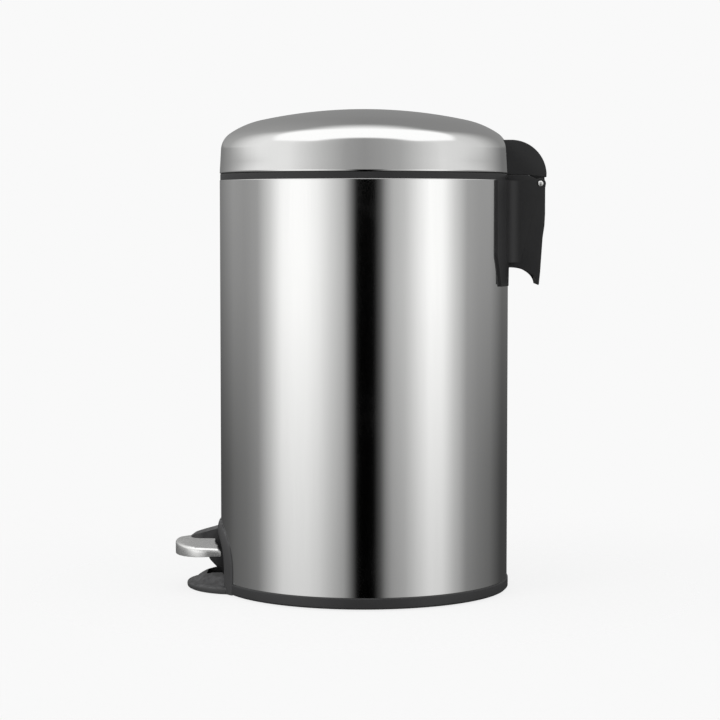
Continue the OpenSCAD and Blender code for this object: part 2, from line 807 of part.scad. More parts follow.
module pedal_core() {
    color("dimgray") difference() {
        union() {
            pedal_form(skin_t + gap, 0.8);
            intersection() {
                linear_extrude(height = pedal_h * 2) hump_plan(0);
                side_prism(-hump_half, hump_half) polygon([
                    [hump_tip_y, pedal_h - 8], [hump_tip_y, pedal_h + 0.5],
                    [hump_tip_y + 1.5, pedal_h + 2], [-body_r - 2.6, pedal_h + 8.2],
                    [-body_r - 2.6, pedal_h - 8]
                ]);
            }
            side_prism(-hump_half, hump_half) polygon([
                [-body_r - 9, channel_top - 7], [-body_r - 3, channel_top - 13.5],
                [channel_front - 0.5, channel_top - 13.5], [channel_front - 0.5, channel_top + 0.05],
                [channel_front + 40, channel_top + 0.05], [channel_front + 40, pedal_h - 1],
                [-body_r + 13, pedal_h + 5], [-body_r - 2.7, pedal_h + 8.2],
                [-body_r - 10, pedal_h + 3], [-body_r - 13, channel_top]
            ]);
        }
        pedal_screw_at() cylinder(r = 1.5 + fit, h = 8.5);
    }
}

module pedal_screw_at() {
    for (y = [10, 30]) translate([0, channel_front + y, channel_top]) children();
}

module pedal_screws() {
    color("silver") pedal_screw_at() difference() {
        union() {
            translate([0, 0, -channel_t]) cylinder(r = 1.5, h = channel_t + 8);
            translate([0, 0, -channel_t - 1.8]) cylinder(r = 3, h = 1.8);
        }
        block([-1.8, 1.8], [-0.4, 0.4], [-channel_t - 3, -channel_t - 0.9]);
    }
}

module pedal_lever() {
    bar_front = pivot_y + 9;
    bar_end = rod_y + eye_r + 2.2;
    color("gray") difference() {
        union() {
            block([-channel_w, channel_w], [channel_front, channel_back],
                  [channel_top - channel_t, channel_top]);
            for (x = [-channel_w, channel_w - channel_t]) side_prism(x, x + channel_t) {
                translate([channel_front, channel_top - 13])
                    square([channel_back - channel_front, 13]);
                translate([pivot_y, pivot_h]) circle(r = bush_r + 3.4);
            }
            side_prism(-arm_t / 2, arm_t / 2) translate([pivot_y, pivot_h]) rotate(-lever_a)
                polygon([
                    [bar_front - pivot_y, -6], [bar_end - pivot_y, -5],
                    [bar_end - pivot_y, 5], [bar_front - pivot_y, 6]
                ]);
        }
        x_rod(-channel_w - 1, channel_w + 1, pivot_y, pivot_h, bush_r + fit);
        x_rod(-arm_t, arm_t, rod_y, rod_low_z, eye_r);
        x_rod(-arm_t, arm_t, rod_y - 0.5, rod_low_z, eye_r);
        pedal_screw_at() translate([0, 0, -5]) cylinder(r = 1.5 + fit, h = 10);
    }
}

module lever_bushes() {
    color("ivory") for (x = [-channel_w - 1.5, channel_w - channel_t]) difference() {
        union() {
            x_rod(x, x + channel_t + 1.5, pivot_y, pivot_h, bush_r);
            x_rod(x > 0 ? channel_w + 0.05 : x, x > 0 ? channel_w + 1.5 : -channel_w - 0.05,
                  pivot_y, pivot_h, bush_r + 2);
        }
        x_rod(x - 1, x + channel_t + 3, pivot_y, pivot_h, axle_r + run_fit);
    }
}

// ---- Push rod ----

module push_rod() {
    path = [
        [rod_tip_x, rod_y, rod_low_z], [rod_x, rod_y, rod_low_z], [rod_x, rod_y, joggle_low],
        [rod_x, rod_top_y, joggle_high], [rod_x, rod_top_y, rod_top_z], [rod_tip_x, rod_top_y, rod_top_z]
    ];
    $fn = 32;
    color("silver") {
        for (i = [0:len(path) - 2]) wire(path[i], path[i + 1], rod_r);
        for (i = [1:len(path) - 2]) translate(path[i]) sphere(r = rod_r + bend_swell);
    }
}

module rod_clips() {
    color("gray") for (p = [[rod_y, rod_low_z], [rod_top_y, rod_top_z]]) difference() {
        x_rod(rod_tip_x - 1.4, rod_tip_x - 0.6, p[0], p[1], rod_r + 1.9);
        x_rod(rod_tip_x - 3, rod_tip_x + 1, p[0], p[1], rod_r + fit);
    }
}

// ---- Bucket ----

module bucket() {
    low_r = bucket_top_r - bucket_taper;
    color("black") difference() {
        union() {
            rotate_extrude($fn = 180) polygon([
                [0, bucket_foot], [low_r - 2, bucket_foot], [low_r, bucket_foot + 2],
                [bucket_top_r, ledge_z], [rim_r, ledge_z], [rim_r, rim_top],
                [bucket_top_r - bucket_t, rim_top],
                [low_r - bucket_t, bucket_foot + 2 + bucket_t], [0, bucket_foot + 2 + bucket_t]
            ]);
            for (x = [lug_out - lug_t, -lug_out]) side_prism(x, x + lug_t) {
                translate([0, bail_z]) circle(r = lug_r);
                translate([-lug_r - 1, rim_top - 0.5]) square([2 * lug_r + 2, bail_z - rim_top]);
            }
        }
        x_rod(-body_r, body_r, 0, bail_z, bail_r + run_fit);
    }
}

module bail_wire() {
    color("silver") {
        translate([0, 0, bail_z]) rotate([0, 0, 180]) rotate_extrude(angle = 180, $fn = 180)
            translate([bail_ring_r, 0]) circle(r = bail_r, $fn = 48);
        for (side = [-1, 1]) {
            translate([side * bail_ring_r, 0, bail_z]) sphere(r = bail_r + bend_swell / 5);
            x_rod(side > 0 ? lug_out - lug_t - 1.2 : -bail_ring_r,
                  side > 0 ? bail_ring_r : lug_t - lug_out + 1.2, 0, bail_z, bail_r);
        }
    }
}

module bail_grip() {
    color("dimgray") translate([0, 0, bail_z]) rotate([0, 0, 270 - 16])
        rotate_extrude(angle = 32, $fn = 180) translate([bail_ring_r, 0]) difference() {
            circle(r = grip_r, $fn = 48);
            circle(r = bail_r + run_fit, $fn = 48);
        }
}

body_shell();
top_collar();
base_ring();
foot_ring();
pedal_surround();
surround_screws();
hinge_housing();
clamp_plate();
housing_screws();
hinge_pin();
rod_guide_upper();
rod_guide_lower();
pivot_bracket();
bracket_screws();
pivot_axle();
axle_clips();
lid_dome();
lid_ring();
lid_buffers();
hinge_cap();
hinge_arm();
backing_plate();
cap_screws();
pedal_plate();
pedal_core();
pedal_lever();
lever_bushes();
pedal_screws();
push_rod();
rod_clips();
bucket();
bail_wire();
bail_grip();
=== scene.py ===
"""Looks of a round step-pedal waste bin: one operator per piece or group, and a panel."""
import json
import math

import bmesh
import bpy
from mathutils import Matrix, Vector


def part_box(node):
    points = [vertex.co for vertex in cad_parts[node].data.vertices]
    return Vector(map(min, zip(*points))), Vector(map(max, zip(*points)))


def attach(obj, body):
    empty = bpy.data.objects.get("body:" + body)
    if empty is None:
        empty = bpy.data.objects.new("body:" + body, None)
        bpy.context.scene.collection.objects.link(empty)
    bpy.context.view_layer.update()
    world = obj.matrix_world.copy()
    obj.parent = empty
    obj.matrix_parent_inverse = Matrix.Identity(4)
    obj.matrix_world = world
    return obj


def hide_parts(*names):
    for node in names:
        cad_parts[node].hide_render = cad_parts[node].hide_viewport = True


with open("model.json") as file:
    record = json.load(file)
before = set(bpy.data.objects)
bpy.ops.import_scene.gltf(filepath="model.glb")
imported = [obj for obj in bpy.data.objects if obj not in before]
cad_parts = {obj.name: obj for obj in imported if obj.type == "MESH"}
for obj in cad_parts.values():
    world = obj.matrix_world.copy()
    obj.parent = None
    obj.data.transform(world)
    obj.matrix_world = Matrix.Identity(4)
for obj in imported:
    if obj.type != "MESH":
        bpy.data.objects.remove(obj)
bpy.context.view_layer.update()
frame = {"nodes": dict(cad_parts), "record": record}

bl_info = {
    "name": "Step-pedal waste bin",
    "version": (1, 0, 0),
    "blender": (4, 5, 0),
    "location": "View3D > Sidebar > Waste bin",
    "description": "Builds the visible pieces, materials and stage of a step-pedal waste bin",
    "category": "Add Mesh",
}

# Millimetres from here on, and metres only in the finished meshes.
MM = 0.001
WALL = 0.8
HINGE_HALF = 25.0
SLICE = 3.0
CROWN_BALL = 140.0


# ---- Sizes read from the frame, in millimetres ----

def low(name):
    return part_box(name)[0] / MM


def high(name):
    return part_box(name)[1] / MM


def joint_place(name):
    for joint in frame["record"]["behaviour"]["joints"]:
        if joint["name"] == name:
            return Vector(joint["pos_m"]) / MM
    raise RuntimeError("joint not found: " + name)


# ---- Geometry helpers ----

def rounded(points, steps=5):
    """A closed outline whose corners (a, b, radius) are drawn as arcs."""
    out = []
    for i, corner in enumerate(points):
        here = Vector(corner[:2])
        radius = corner[2] if len(corner) > 2 else 0
        if not radius:
            out.append(here)
            continue
        back = Vector(points[i - 1][:2]) - here
        ahead = Vector(points[(i + 1) % len(points)][:2]) - here
        half = back.angle(ahead) / 2
        if half > math.radians(88):
            out.append(here)
            continue
        cut = min(radius / math.tan(half), back.length * 0.49, ahead.length * 0.49)
        radius = cut * math.tan(half)
        back.normalize()
        ahead.normalize()
        centre = here + (back + ahead).normalized() * (radius / math.sin(half))
        first = here + back * cut - centre
        last = here + ahead * cut - centre
        a0 = math.atan2(first.y, first.x)
        turn = math.remainder(math.atan2(last.y, last.x) - a0, math.tau)
        for k in range(steps + 1):
            a = a0 + turn * k / steps
            out.append(centre + radius * Vector((math.cos(a), math.sin(a))))
    return out


def arc(cx, cy, r, start, end, steps):
    return [
        (cx + r * math.cos(math.radians(start + (end - start) * i / steps)),
         cy + r * math.sin(math.radians(start + (end - start) * i / steps)))
        for i in range(steps + 1)
    ]


def chain(bm, points, closed=True):
    verts = [bm.verts.new(p) for p in points]
    pairs = list(zip(verts, verts[1:]))
    if closed:
        pairs.append((verts[-1], verts[0]))
    return verts, [bm.edges.new(pair) for pair in pairs]


def bridge(bm, rings):
    """Joins each ring of edges to the next and closes the two ends."""
    for a, b in zip(rings, rings[1:]):
        bmesh.ops.bridge_loops(bm, edges=a + b)
    close_holes(bm)
    tidy(bm)
    return bm


def close_holes(bm):
    edges = [e for e in bm.edges if e.is_boundary]
    if edges:
        bmesh.ops.holes_fill(bm, edges=edges, sides=0)


def lathe(section, steps=256, start=0.0, turn=360.0, closed=True):
    """Spins a section of (radius, height) about the upright axis."""
    bm = bmesh.new()
    a = math.radians(start)
    points = [(p[0] * math.cos(a), p[0] * math.sin(a), p[1]) for p in section]
    verts, edges = chain(bm, points, closed)
    full = turn >= 360
    bmesh.ops.spin(
        bm, geom=verts + edges, cent=(0, 0, 0), axis=(0, 0, 1),
        angle=math.radians(turn), steps=steps, use_merge=full,
    )
    bmesh.ops.remove_doubles(bm, verts=bm.verts, dist=1e-4)
    if not full:
        close_holes(bm)
    tidy(bm)
    return bm


def tidy(bm):
    bmesh.ops.dissolve_degenerate(bm, edges=bm.edges, dist=1e-5)
    bmesh.ops.recalc_face_normals(bm, faces=bm.faces)


def prism(outline, axis, near, far, edge=0.0, segments=3):
    """Pushes an outline along X, Y or Z and rounds the edges of its two end faces."""
    place = {
        "X": lambda u, v: (near, u, v),
        "Y": lambda u, v: (u, near, v),
        "Z": lambda u, v: (u, v, near),
    }[axis]
    bm = bmesh.new()
    verts = [bm.verts.new(place(p[0], p[1])) for p in outline]
    face = bm.faces.new(verts)
    out = bmesh.ops.extrude_face_region(bm, geom=[face], use_keep_orig=True)
    moved = [g for g in out["geom"] if isinstance(g, bmesh.types.BMVert)]
    push = Vector([far - near if a == axis else 0 for a in "XYZ"])
    bmesh.ops.translate(bm, vec=push, verts=moved)
    bmesh.ops.recalc_face_normals(bm, faces=bm.faces)
    if edge:
        index = "XYZ".index(axis)
        rim = [
            e for e in bm.edges
            if abs(e.verts[0].co[index] - e.verts[1].co[index]) < 1e-5
        ]
        bmesh.ops.bevel(
            bm, geom=rim, offset=edge, offset_type="OFFSET", segments=segments,
            affect="EDGES", profile=0.5, material=-1, clamp_overlap=True,
        )
        tidy(bm)
    return bm


def rod(axis, a, b, near, far, radius, steps=48, edge=0.0):
    """A round bar along X, Y or Z with its centre at (a, b)."""
    ring = [
        (a + radius * math.cos(math.tau * i / steps), b + radius * math.sin(math.tau * i / steps))
        for i in range(steps)
    ]
    return prism(ring, axis, near, far, edge)


def ends(side, a, b):
    """The two ends of a length on one side of the middle, the lower one first."""
    return sorted((side * a, side * b))


def box_of(x, y, z):
    return prism([(x[0], y[0]), (x[1], y[0]), (x[1], y[1]), (x[0], y[1])], "Z", z[0], z[1])


def combine(bm, tool, operation):
    """Exact union, difference or intersection of two closed meshes."""
    pair = []
    for source in (bm, tool):
        mesh = bpy.data.meshes.new("step")
        source.to_mesh(mesh)
        source.free()
        obj = bpy.data.objects.new("step", mesh)
        bpy.context.scene.collection.objects.link(obj)
        pair.append(obj)
    modifier = pair[0].modifiers.new("step", "BOOLEAN")
    modifier.operation = operation
    modifier.solver = "EXACT"
    modifier.object = pair[1]
    result = bmesh.new()
    result.from_object(pair[0], bpy.context.evaluated_depsgraph_get())
    for obj in pair:
        mesh = obj.data
        bpy.data.objects.remove(obj)
        bpy.data.meshes.remove(mesh)
    if not result.faces:
        raise RuntimeError("a cut left nothing")
    bmesh.ops.remove_doubles(result, verts=result.verts, dist=1e-4)
    bmesh.ops.dissolve_degenerate(result, edges=result.edges, dist=1e-5)
    return result


def cut(bm, tool):
    return combine(bm, tool, "DIFFERENCE")


def weld(bm, tool):
    return combine(bm, tool, "UNION")


def bend_path(points, radius, steps=8):
    """A path through 3-D points with each inner corner drawn as an arc."""
    out = [Vector(points[0])]
    for before, here, after in zip(points, points[1:], points[2:]):
        here = Vector(here)
        back = (Vector(before) - here)
        ahead = (Vector(after) - here)
        half = back.angle(ahead) / 2
        cut = min(radius / math.tan(half), back.length * 0.49, ahead.length * 0.49)
        size = cut * math.tan(half)
        back.normalize()
        ahead.normalize()
        centre = here + (back + ahead).normalized() * (size / math.sin(half))
        first = here + back * cut - centre
        last = here + ahead * cut - centre
        for k in range(steps + 1):
            out.append(centre + first.slerp(last, k / steps))
    out.append(Vector(points[-1]))
    return out


def sweep(path, radius, steps=24):
    """A round wire along a path, one ring per point, joined ring to ring."""
    bm = bmesh.new()
    rings = []
    turn = None
    for i, point in enumerate(path):
        ahead = (path[min(i + 1, len(path) - 1)] - path[max(i - 1, 0)]).normalized()
        if turn is None:
            turn = Vector((0, 0, 1)).rotation_difference(ahead)
        else:
            turn = (turn @ Vector((0, 0, 1))).rotation_difference(ahead) @ turn
        place = Matrix.Translation(point) @ turn.to_matrix().to_4x4()
        ring = bmesh.ops.create_circle(
            bm, cap_ends=False, segments=steps,
            radius=radius(i) if callable(radius) else radius, matrix=place,
        )["verts"]
        rings.append([e for v in ring for e in v.link_edges if e.other_vert(v) in ring])
    for a, b in zip(rings, rings[1:]):
        bmesh.ops.bridge_loops(bm, edges=list(set(a + b)))
    close_holes(bm)
    tidy(bm)
    return bm


def join(parts):
    """Puts several closed shells that belong to one piece into one mesh."""
    bm = bmesh.new()
    for part in parts:
        mesh = bpy.data.meshes.new("step")
        part.to_mesh(mesh)
        part.free()
        bm.from_mesh(mesh)
        bpy.data.meshes.remove(mesh)
    return bm


def add_piece(bm, name, body, finish, replaces, angle=32.0):
    """Turns a millimetre mesh into a named piece that rides on a body and stands for CAD nodes."""
    bmesh.ops.scale(bm, vec=(MM, MM, MM), verts=bm.verts)
    bmesh.ops.recalc_face_normals(bm, faces=bm.faces)
    mesh = bpy.data.meshes.new(name)
    bm.to_mesh(mesh)
    bm.free()
    mesh.polygons.foreach_set("use_smooth", [True] * len(mesh.polygons))
    mesh.set_sharp_from_angle(angle=math.radians(angle))
    obj = bpy.data.objects.new(name, mesh)
    bpy.context.scene.collection.objects.link(obj)
    obj.data.materials.append(finish_of(finish))
    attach(obj, body)
    if replaces:
        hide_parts(*replaces)
    return obj


# ---- Node helpers ----

def node(tree, kind, inputs=None, **settings):
    """Adds a node; an input is a value or another node's output."""
    made = tree.nodes.new(kind)
    for key, value in settings.items():
        setattr(made, key, value)
    for key, value in (inputs or {}).items():
        if isinstance(value, bpy.types.NodeSocket):
            tree.links.new(value, made.inputs[key])
        else:
            made.inputs[key].default_value = value
    return made


def maths(tree, operation, a, b=0.0, clamp=False):
    return node(tree, "ShaderNodeMath", {0: a, 1: b}, operation=operation, use_clamp=clamp).outputs[0]


def remap(tree, value, a0, a1, b0, b1, smooth=False):
    made = node(
        tree, "ShaderNodeMapRange",
        {"Value": value, "From Min": a0, "From Max": a1, "To Min": b0, "To Max": b1},
        interpolation_type="SMOOTHSTEP" if smooth else "LINEAR",
    )
    return made.outputs["Result"]


def noise(tree, vector, scale, detail=3.0, rough=0.5):
    made = node(
        tree, "ShaderNodeTexNoise",
        {"Vector": vector, "Scale": scale, "Detail": detail, "Roughness": rough},
    )
    return made.outputs["Fac"]


def group(name, inputs, outputs, fill):
    """A shared node group. fill(tree, entry, leave) makes its nodes."""
    tree = bpy.data.node_groups.get(name)
    if tree:
        return tree
    tree = bpy.data.node_groups.new(name, "ShaderNodeTree")
    for label, kind, value in inputs:
        socket = tree.interface.new_socket(label, in_out="INPUT", socket_type=kind)
        socket.default_value = value
    for label, kind in outputs:
        tree.interface.new_socket(label, in_out="OUTPUT", socket_type=kind)
    fill(tree, tree.nodes.new("NodeGroupInput").outputs, tree.nodes.new("NodeGroupOutput").inputs)
    return tree


def use(tree, shared, inputs=None):
    made = tree.nodes.new("ShaderNodeGroup")
    made.node_tree = shared
    for key, value in (inputs or {}).items():
        if isinstance(value, bpy.types.NodeSocket):
            tree.links.new(value, made.inputs[key])
        else:
            made.inputs[key].default_value = value
    return made.outputs


def object_coords(tree):
    return node(tree, "ShaderNodeTexCoord").outputs["Object"]


def moulded_group():
    """Fine moulded grain: a roughness that varies, and a bump."""
    def fill(tree, entry, leave):
        coords = object_coords(tree)
        fine = noise(tree, coords, entry["Scale"], 4.0, 0.6)
        broad = noise(tree, coords, 38.0, 3.0)
        rough = maths(tree, "MULTIPLY", maths(tree, "SUBTRACT", broad, 0.5), entry["Spread"])
        small = maths(tree, "MULTIPLY", maths(tree, "SUBTRACT", fine, 0.5), entry["Spread"])
        total = maths(tree, "ADD", maths(tree, "ADD", entry["Roughness"], rough), small, True)
        bump = node(tree, "ShaderNodeBump", {"Height": fine, "Distance": entry["Depth"], "Strength": 0.6})
        tree.links.new(total, leave["Roughness"])
        tree.links.new(bump.outputs["Normal"], leave["Normal"])
        tree.links.new(broad, leave["Broad"])
    return group(
        "Moulded grain",
        [("Scale", "NodeSocketFloat", 1400.0), ("Depth", "NodeSocketFloat", 0.00006),
         ("Roughness", "NodeSocketFloat", 0.42), ("Spread", "NodeSocketFloat", 0.18)],
        [("Roughness", "NodeSocketFloat"), ("Normal", "NodeSocketVector"), ("Broad", "NodeSocketFloat")],
        fill,
    )


def polish_group():
    """Handled polished metal: wipe marks, faint rolling lines and a very shallow waviness."""
    def fill(tree, entry, leave):
        coords = object_coords(tree)
        wipe = noise(tree, coords, 16.0, 5.0, 0.62)
        lines = node(tree, "ShaderNodeMapping", {"Vector": coords, "Scale": entry["Stretch"]})
        rolled = noise(tree, lines.outputs["Vector"], 900.0, 2.0)
        marks = remap(tree, wipe, 0.45, 0.75, 0.0, 1.0, True)
        rough = maths(tree, "ADD", entry["Roughness"], maths(tree, "MULTIPLY", marks, entry["Wipe"]))
        rough = maths(tree, "ADD", rough, maths(tree, "MULTIPLY", rolled, entry["Lines"]), True)
        bump = node(tree, "ShaderNodeBump", {"Height": rolled, "Distance": entry["Depth"], "Strength": 0.35})
        tree.links.new(rough, leave["Roughness"])
        tree.links.new(bump.outputs["Normal"], leave["Normal"])
        tree.links.new(rolled, leave["Rolled"])
    return group(
        "Polished metal",
        [("Roughness", "NodeSocketFloat", 0.1), ("Wipe", "NodeSocketFloat", 0.03),
         ("Lines", "NodeSocketFloat", 0.02), ("Depth", "NodeSocketFloat", 0.000002),
         ("Stretch", "NodeSocketVector", (1.0, 1.0, 0.02))],
        [("Roughness", "NodeSocketFloat"), ("Normal", "NodeSocketVector"), ("Rolled", "NodeSocketFloat")],
        fill,
    )


def dust_and_top_light_group():
    """A light grey on faces that look up, broken up by noise: partly a settled dustlike film and partly
    painted top light, which lightens those tops as light from above would.
    """
    def fill(tree, entry, leave):
        normal = node(tree, "ShaderNodeNewGeometry").outputs["Normal"]
        up = node(tree, "ShaderNodeSeparateXYZ", {0: normal}).outputs["Z"]
        facing = remap(tree, up, 0.35, 0.95, 0.0, 1.0, True)
        patches = remap(tree, noise(tree, object_coords(tree), 120.0, 6.0, 0.65), 0.4, 0.72, 0.0, 1.0)
        mask = maths(tree, "MULTIPLY", maths(tree, "MULTIPLY", facing, patches), entry["Amount"], True)
        tree.links.new(mask, leave["Mask"])
    return group(
        "Settled dust", [("Amount", "NodeSocketFloat", 0.25)], [("Mask", "NodeSocketFloat")], fill,
    )


def blend_colours(tree, factor, a, b):
    made = node(tree, "ShaderNodeMix", data_type="RGBA")
    for index, value in ((0, factor), (6, a), (7, b)):
        if isinstance(value, bpy.types.NodeSocket):
            tree.links.new(value, made.inputs[index])
        else:
            made.inputs[index].default_value = value
    return made.outputs[2]


def new_material(name):
    """An empty material with a surface shader. Returns (material, tree, shader)."""
    made = bpy.data.materials.new(name)
    made.use_nodes = True
    tree = made.node_tree
    tree.nodes.clear()
    shader = tree.nodes.new("ShaderNodeBsdfPrincipled")
    out = tree.nodes.new("ShaderNodeOutputMaterial")
    tree.links.new(shader.outputs[0], out.inputs["Surface"])
    return made, tree, shader


def metal(name, colour, second, roughness, wipe, lines, depth, stretch, aniso=0.0, metallic=1.0):
    found = bpy.data.materials.get(name)
    if found:
        return found
    made, tree, shader = new_material(name)
    if roughness is None:
        roughness = look().steel_roughness
    shared = use(tree, polish_group(), {
        "Roughness": roughness, "Wipe": wipe, "Lines": lines, "Depth": depth, "Stretch": stretch,
    })
    mix = maths(tree, "MULTIPLY", shared["Rolled"], 0.6)
    tint = blend_colours(tree, mix, (*colour, 1.0), (*second, 1.0))
    tree.links.new(tint, shader.inputs["Base Color"])
    tree.links.new(shared["Roughness"], shader.inputs["Roughness"])
    tree.links.new(shared["Normal"], shader.inputs["Normal"])
    shader.inputs["Metallic"].default_value = metallic
    shader.inputs["Anisotropic"].default_value = aniso
    return made


def plastic(name, colour, second, roughness, spread, scale, depth, dust_and_top_light, sheen=0.5, scatter=0.0):
    found = bpy.data.materials.get(name)
    if found:
        return found
    made, tree, shader = new_material(name)
    if roughness is None:
        roughness = look().plastic_roughness
    shared = use(tree, moulded_group(), {
        "Scale": scale, "Depth": depth, "Roughness": roughness, "Spread": spread,
    })
    base = blend_colours(tree, shared["Broad"], (*colour, 1.0), (*second, 1.0))
    # The up-facing grey mixed in here is partly a settled dustlike film and partly painted top light.
    mask = use(tree, dust_and_top_light_group(), {"Amount": dust_and_top_light})["Mask"]
    dusty_and_lit = blend_colours(tree, mask, base, (0.34, 0.34, 0.35, 1.0))
    tree.links.new(dusty_and_lit, shader.inputs["Base Color"])
    tree.links.new(shared["Roughness"], shader.inputs["Roughness"])
    tree.links.new(shared["Normal"], shader.inputs["Normal"])
    shader.inputs["Specular IOR Level"].default_value = sheen
    shader.inputs["Subsurface Weight"].default_value = scatter
    shader.inputs["Subsurface Scale"].default_value = 0.002
    return made


def look():
    return bpy.context.scene.bin_look


# A roughness of None is read from the settings.
METALS = {
    "polished_steel": (
        "Polished steel", (0.8, 0.8, 0.795), (0.75, 0.75, 0.745), None, 0.025, 0.01, 0.0000012,
        (1.0, 1.0, 0.02)),
    "pedal_steel": (
        "Brushed steel", (0.92, 0.92, 0.91), (0.8, 0.8, 0.79), 0.2, 0.05, 0.12, 0.000012, (1.0, 0.03, 1.0),
        0.5, 0.9),
    "zinc_steel": (
        "Zinc-plated steel", (0.62, 0.63, 0.64), (0.48, 0.49, 0.52), 0.26, 0.12, 0.1, 0.000004,
        (0.4, 0.4, 0.4)),
    "plated_steel": (
        "Plated sheet steel", (0.56, 0.56, 0.56), (0.44, 0.45, 0.47), 0.34, 0.14, 0.12, 0.000006,
        (1.0, 0.1, 0.1)),
}
PLASTICS = {
    "black_plastic": (
        "Black plastic", (0.021, 0.021, 0.022), (0.029, 0.029, 0.03), None, 0.12, 1500.0, 0.00005,
        0.03, 0.45),
    # A lighter copy of the black plastic for the pedal surround and core. Its strong up-facing grey paints
    # their tops lighter: partly a settled film and partly painted top light.
    "scuffed_plastic": (
        "Lighter black plastic with painted top light", (0.034, 0.034, 0.035), (0.044, 0.044, 0.045), None, 0.16, 1500.0, 0.00005,
        0.42, 0.45),
    "black_rubber": (
        "Black rubber", (0.012, 0.012, 0.012), (0.022, 0.021, 0.02), 0.7, 0.2, 900.0, 0.0001, 0.12, 0.3),
    "natural_nylon": (
        "Natural nylon", (0.72, 0.7, 0.62), (0.8, 0.78, 0.7), 0.4, 0.16, 800.0, 0.00004, 0.0, 0.5, 0.25),
    "bucket_plastic": (
        "Bucket plastic", (0.02, 0.02, 0.021), (0.032, 0.032, 0.033), 0.36, 0.2, 700.0, 0.00006, 0.05),
    "grip_plastic": (
        "Grip plastic", (0.022, 0.022, 0.023), (0.035, 0.035, 0.036), 0.5, 0.15, 1100.0, 0.00006, 0.02),
}


def finish_of(slot):
    """The material that a slot's pieces share."""
    if slot in METALS:
        return metal(*METALS[slot])
    if slot in PLASTICS:
        return plastic(*PLASTICS[slot])
    raise RuntimeError("no finish for " + str(slot))


# ---- Settings ----

class BinLook(bpy.types.PropertyGroup):
    """Finish of the visible surfaces"""
    steel_roughness: bpy.props.FloatProperty(
        name="Steel roughness", description="Roughness of the polished steel", default=0.075,
        min=0.0, max=1.0,
    )
    plastic_roughness: bpy.props.FloatProperty(
        name="Plastic roughness", description="Roughness of the black plastic", default=0.46,
        min=0.0, max=1.0,
    )


class BinShape(bpy.types.PropertyGroup):
    """Soft details that the exact solids leave out"""
    lid_lean: bpy.props.FloatProperty(
        name="Lid lean", description="How far the lid's side leans inward", default=math.radians(3.2),
        subtype="ANGLE", unit="ROTATION",
    )
    edge: bpy.props.FloatProperty(
        name="Moulded edge", description="Rounding of moulded edges, in millimetres", default=1.2,
        min=0.1, max=2.0,
    )
    rim: bpy.props.FloatProperty(
        name="Rim rounding", description="Rounding of thin rims, in millimetres", default=0.35,
        min=0.1, max=1.0,
    )


class BinStage(bpy.types.PropertyGroup):
    """Camera, floor and studio"""
    lens: bpy.props.FloatProperty(
        name="Lens", description="Focal length of the camera", default=111.25, unit="CAMERA",
    )
    backdrop: bpy.props.FloatProperty(
        name="Backdrop", description="Brightness of the plain backdrop", default=0.947, min=0.0, max=1.5,
    )
    floor_glow: bpy.props.FloatProperty(
        name="Floor glow", description="Light that the pale floor adds to what falls on it", default=0.8,
        min=0.0,
    )
    fill: bpy.props.FloatProperty(
        name="Fill light", description="Power of the soft light on the pedal's side", default=26.0, min=0.0,
        unit="POWER",
    )
    studio: bpy.props.FloatProperty(
        name="Studio light", description="Strength of the studio's soft light", default=1.26,
        min=0.0, max=5.0,
    )


# ---- Pieces ----

class BIN_OT_body(bpy.types.Operator):
    """Polished steel tube with its pedal opening, black collar, base ring and rubber foot"""
    bl_idname = "waste_bin.body"
    bl_label = "Steel body and rings"

    def execute(self, context):
        shape = context.scene.bin_shape
        r = high("body_shell").x
        inner = r - WALL
        foot, top = low("body_shell").z, high("body_shell").z
        section = rounded([
            (inner, foot, 0.3), (r, foot, 0.3), (r, foot + 0.8), (r, 72), (r, 292), (r, 349), (r, top - 0.8),
            (r, top, shape.rim), (inner, top, shape.rim), (inner, 349), (inner, 292), (inner, 72),
        ])
        bm = lathe(section)
        half, mouth = 42.9, 55.9
        window = arch_outline(half, mouth, foot - 2, 48)
        bm = cut(bm, prism(window, "Y", -r - 20, -r + 40))
        middle = low("push_rod").x + 2.2
        slot = box_of((middle - 4.6, middle + 4.6), (r - 8, r + 8), (303.5, top - 11))
        bm = cut(bm, slot)
        add_piece(bm, "Steel_body", "body", "polished_steel", ["body_shell"], 40)

        lip = high("top_collar")
        out = lip.x
        add_piece(lathe(rounded([
            (116, 347.5, 0.6), (122.2, 347.5, 0.5), (122.2, 346.1, 0.4), (124.1, 346.1, 0.4),
            (124.1, 355), (out, 355), (out, lip.z, 0.8), (121, lip.z, 0.8),
            (121, 349.5, 0.6), (116, 349.5, 0.6),
        ])), "Top_collar", "body", "black_plastic", ["top_collar"])

        ring = high("base_ring")
        gap = 26.1
        outer = lathe(rounded([
            (123, 1.2, 0.4), (124.6, 1.2), (126, 2.6, 1.2), (126, foot, 1.1), (123, foot, 0.3),
        ]), 240, -90 + gap, 360 - 2 * gap)
        pan = lathe(rounded([
            (0.01, 3), (121, 3, 0.5), (121.5, 1.4, 0.3), (124.1, 1.4, 0.3), (124.1, ring.z, 0.6),
            (121.5, ring.z, 0.6), (121.5, 5.5, 1.2), (0.01, 5.5),
        ]), 180)
        pan = cut(pan, box_of((-45, 45), (-150, -62.5), (10.4, 40)))
        pan = cut(pan, box_of((-15, 15), (-150, -117), (5.5, 40)))
        add_piece(join([outer, pan]), "Base_ring", "body", "black_plastic", ["base_ring"])

        wide, narrow = 119.0, 112.0
        tread = [
            (wide, 3), (wide, 0.9, 0.5), (wide - 1.0, 0.0, 0.3), (wide - 2.6, 0.0, 0.3),
            (wide - 2.9, 0.5, 0.2), (narrow + 2.9, 0.5, 0.2), (narrow + 2.6, 0.0, 0.3),
            (narrow + 1.0, 0.0, 0.3), (narrow, 0.9, 0.5), (narrow, 3),
        ]
        add_piece(lathe(rounded(tread), 192), "Rubber_foot", "body", "black_rubber", ["foot_ring"])
        return {"FINISHED"}


def power(v, e):
    return math.copysign(abs(v) ** e, v)


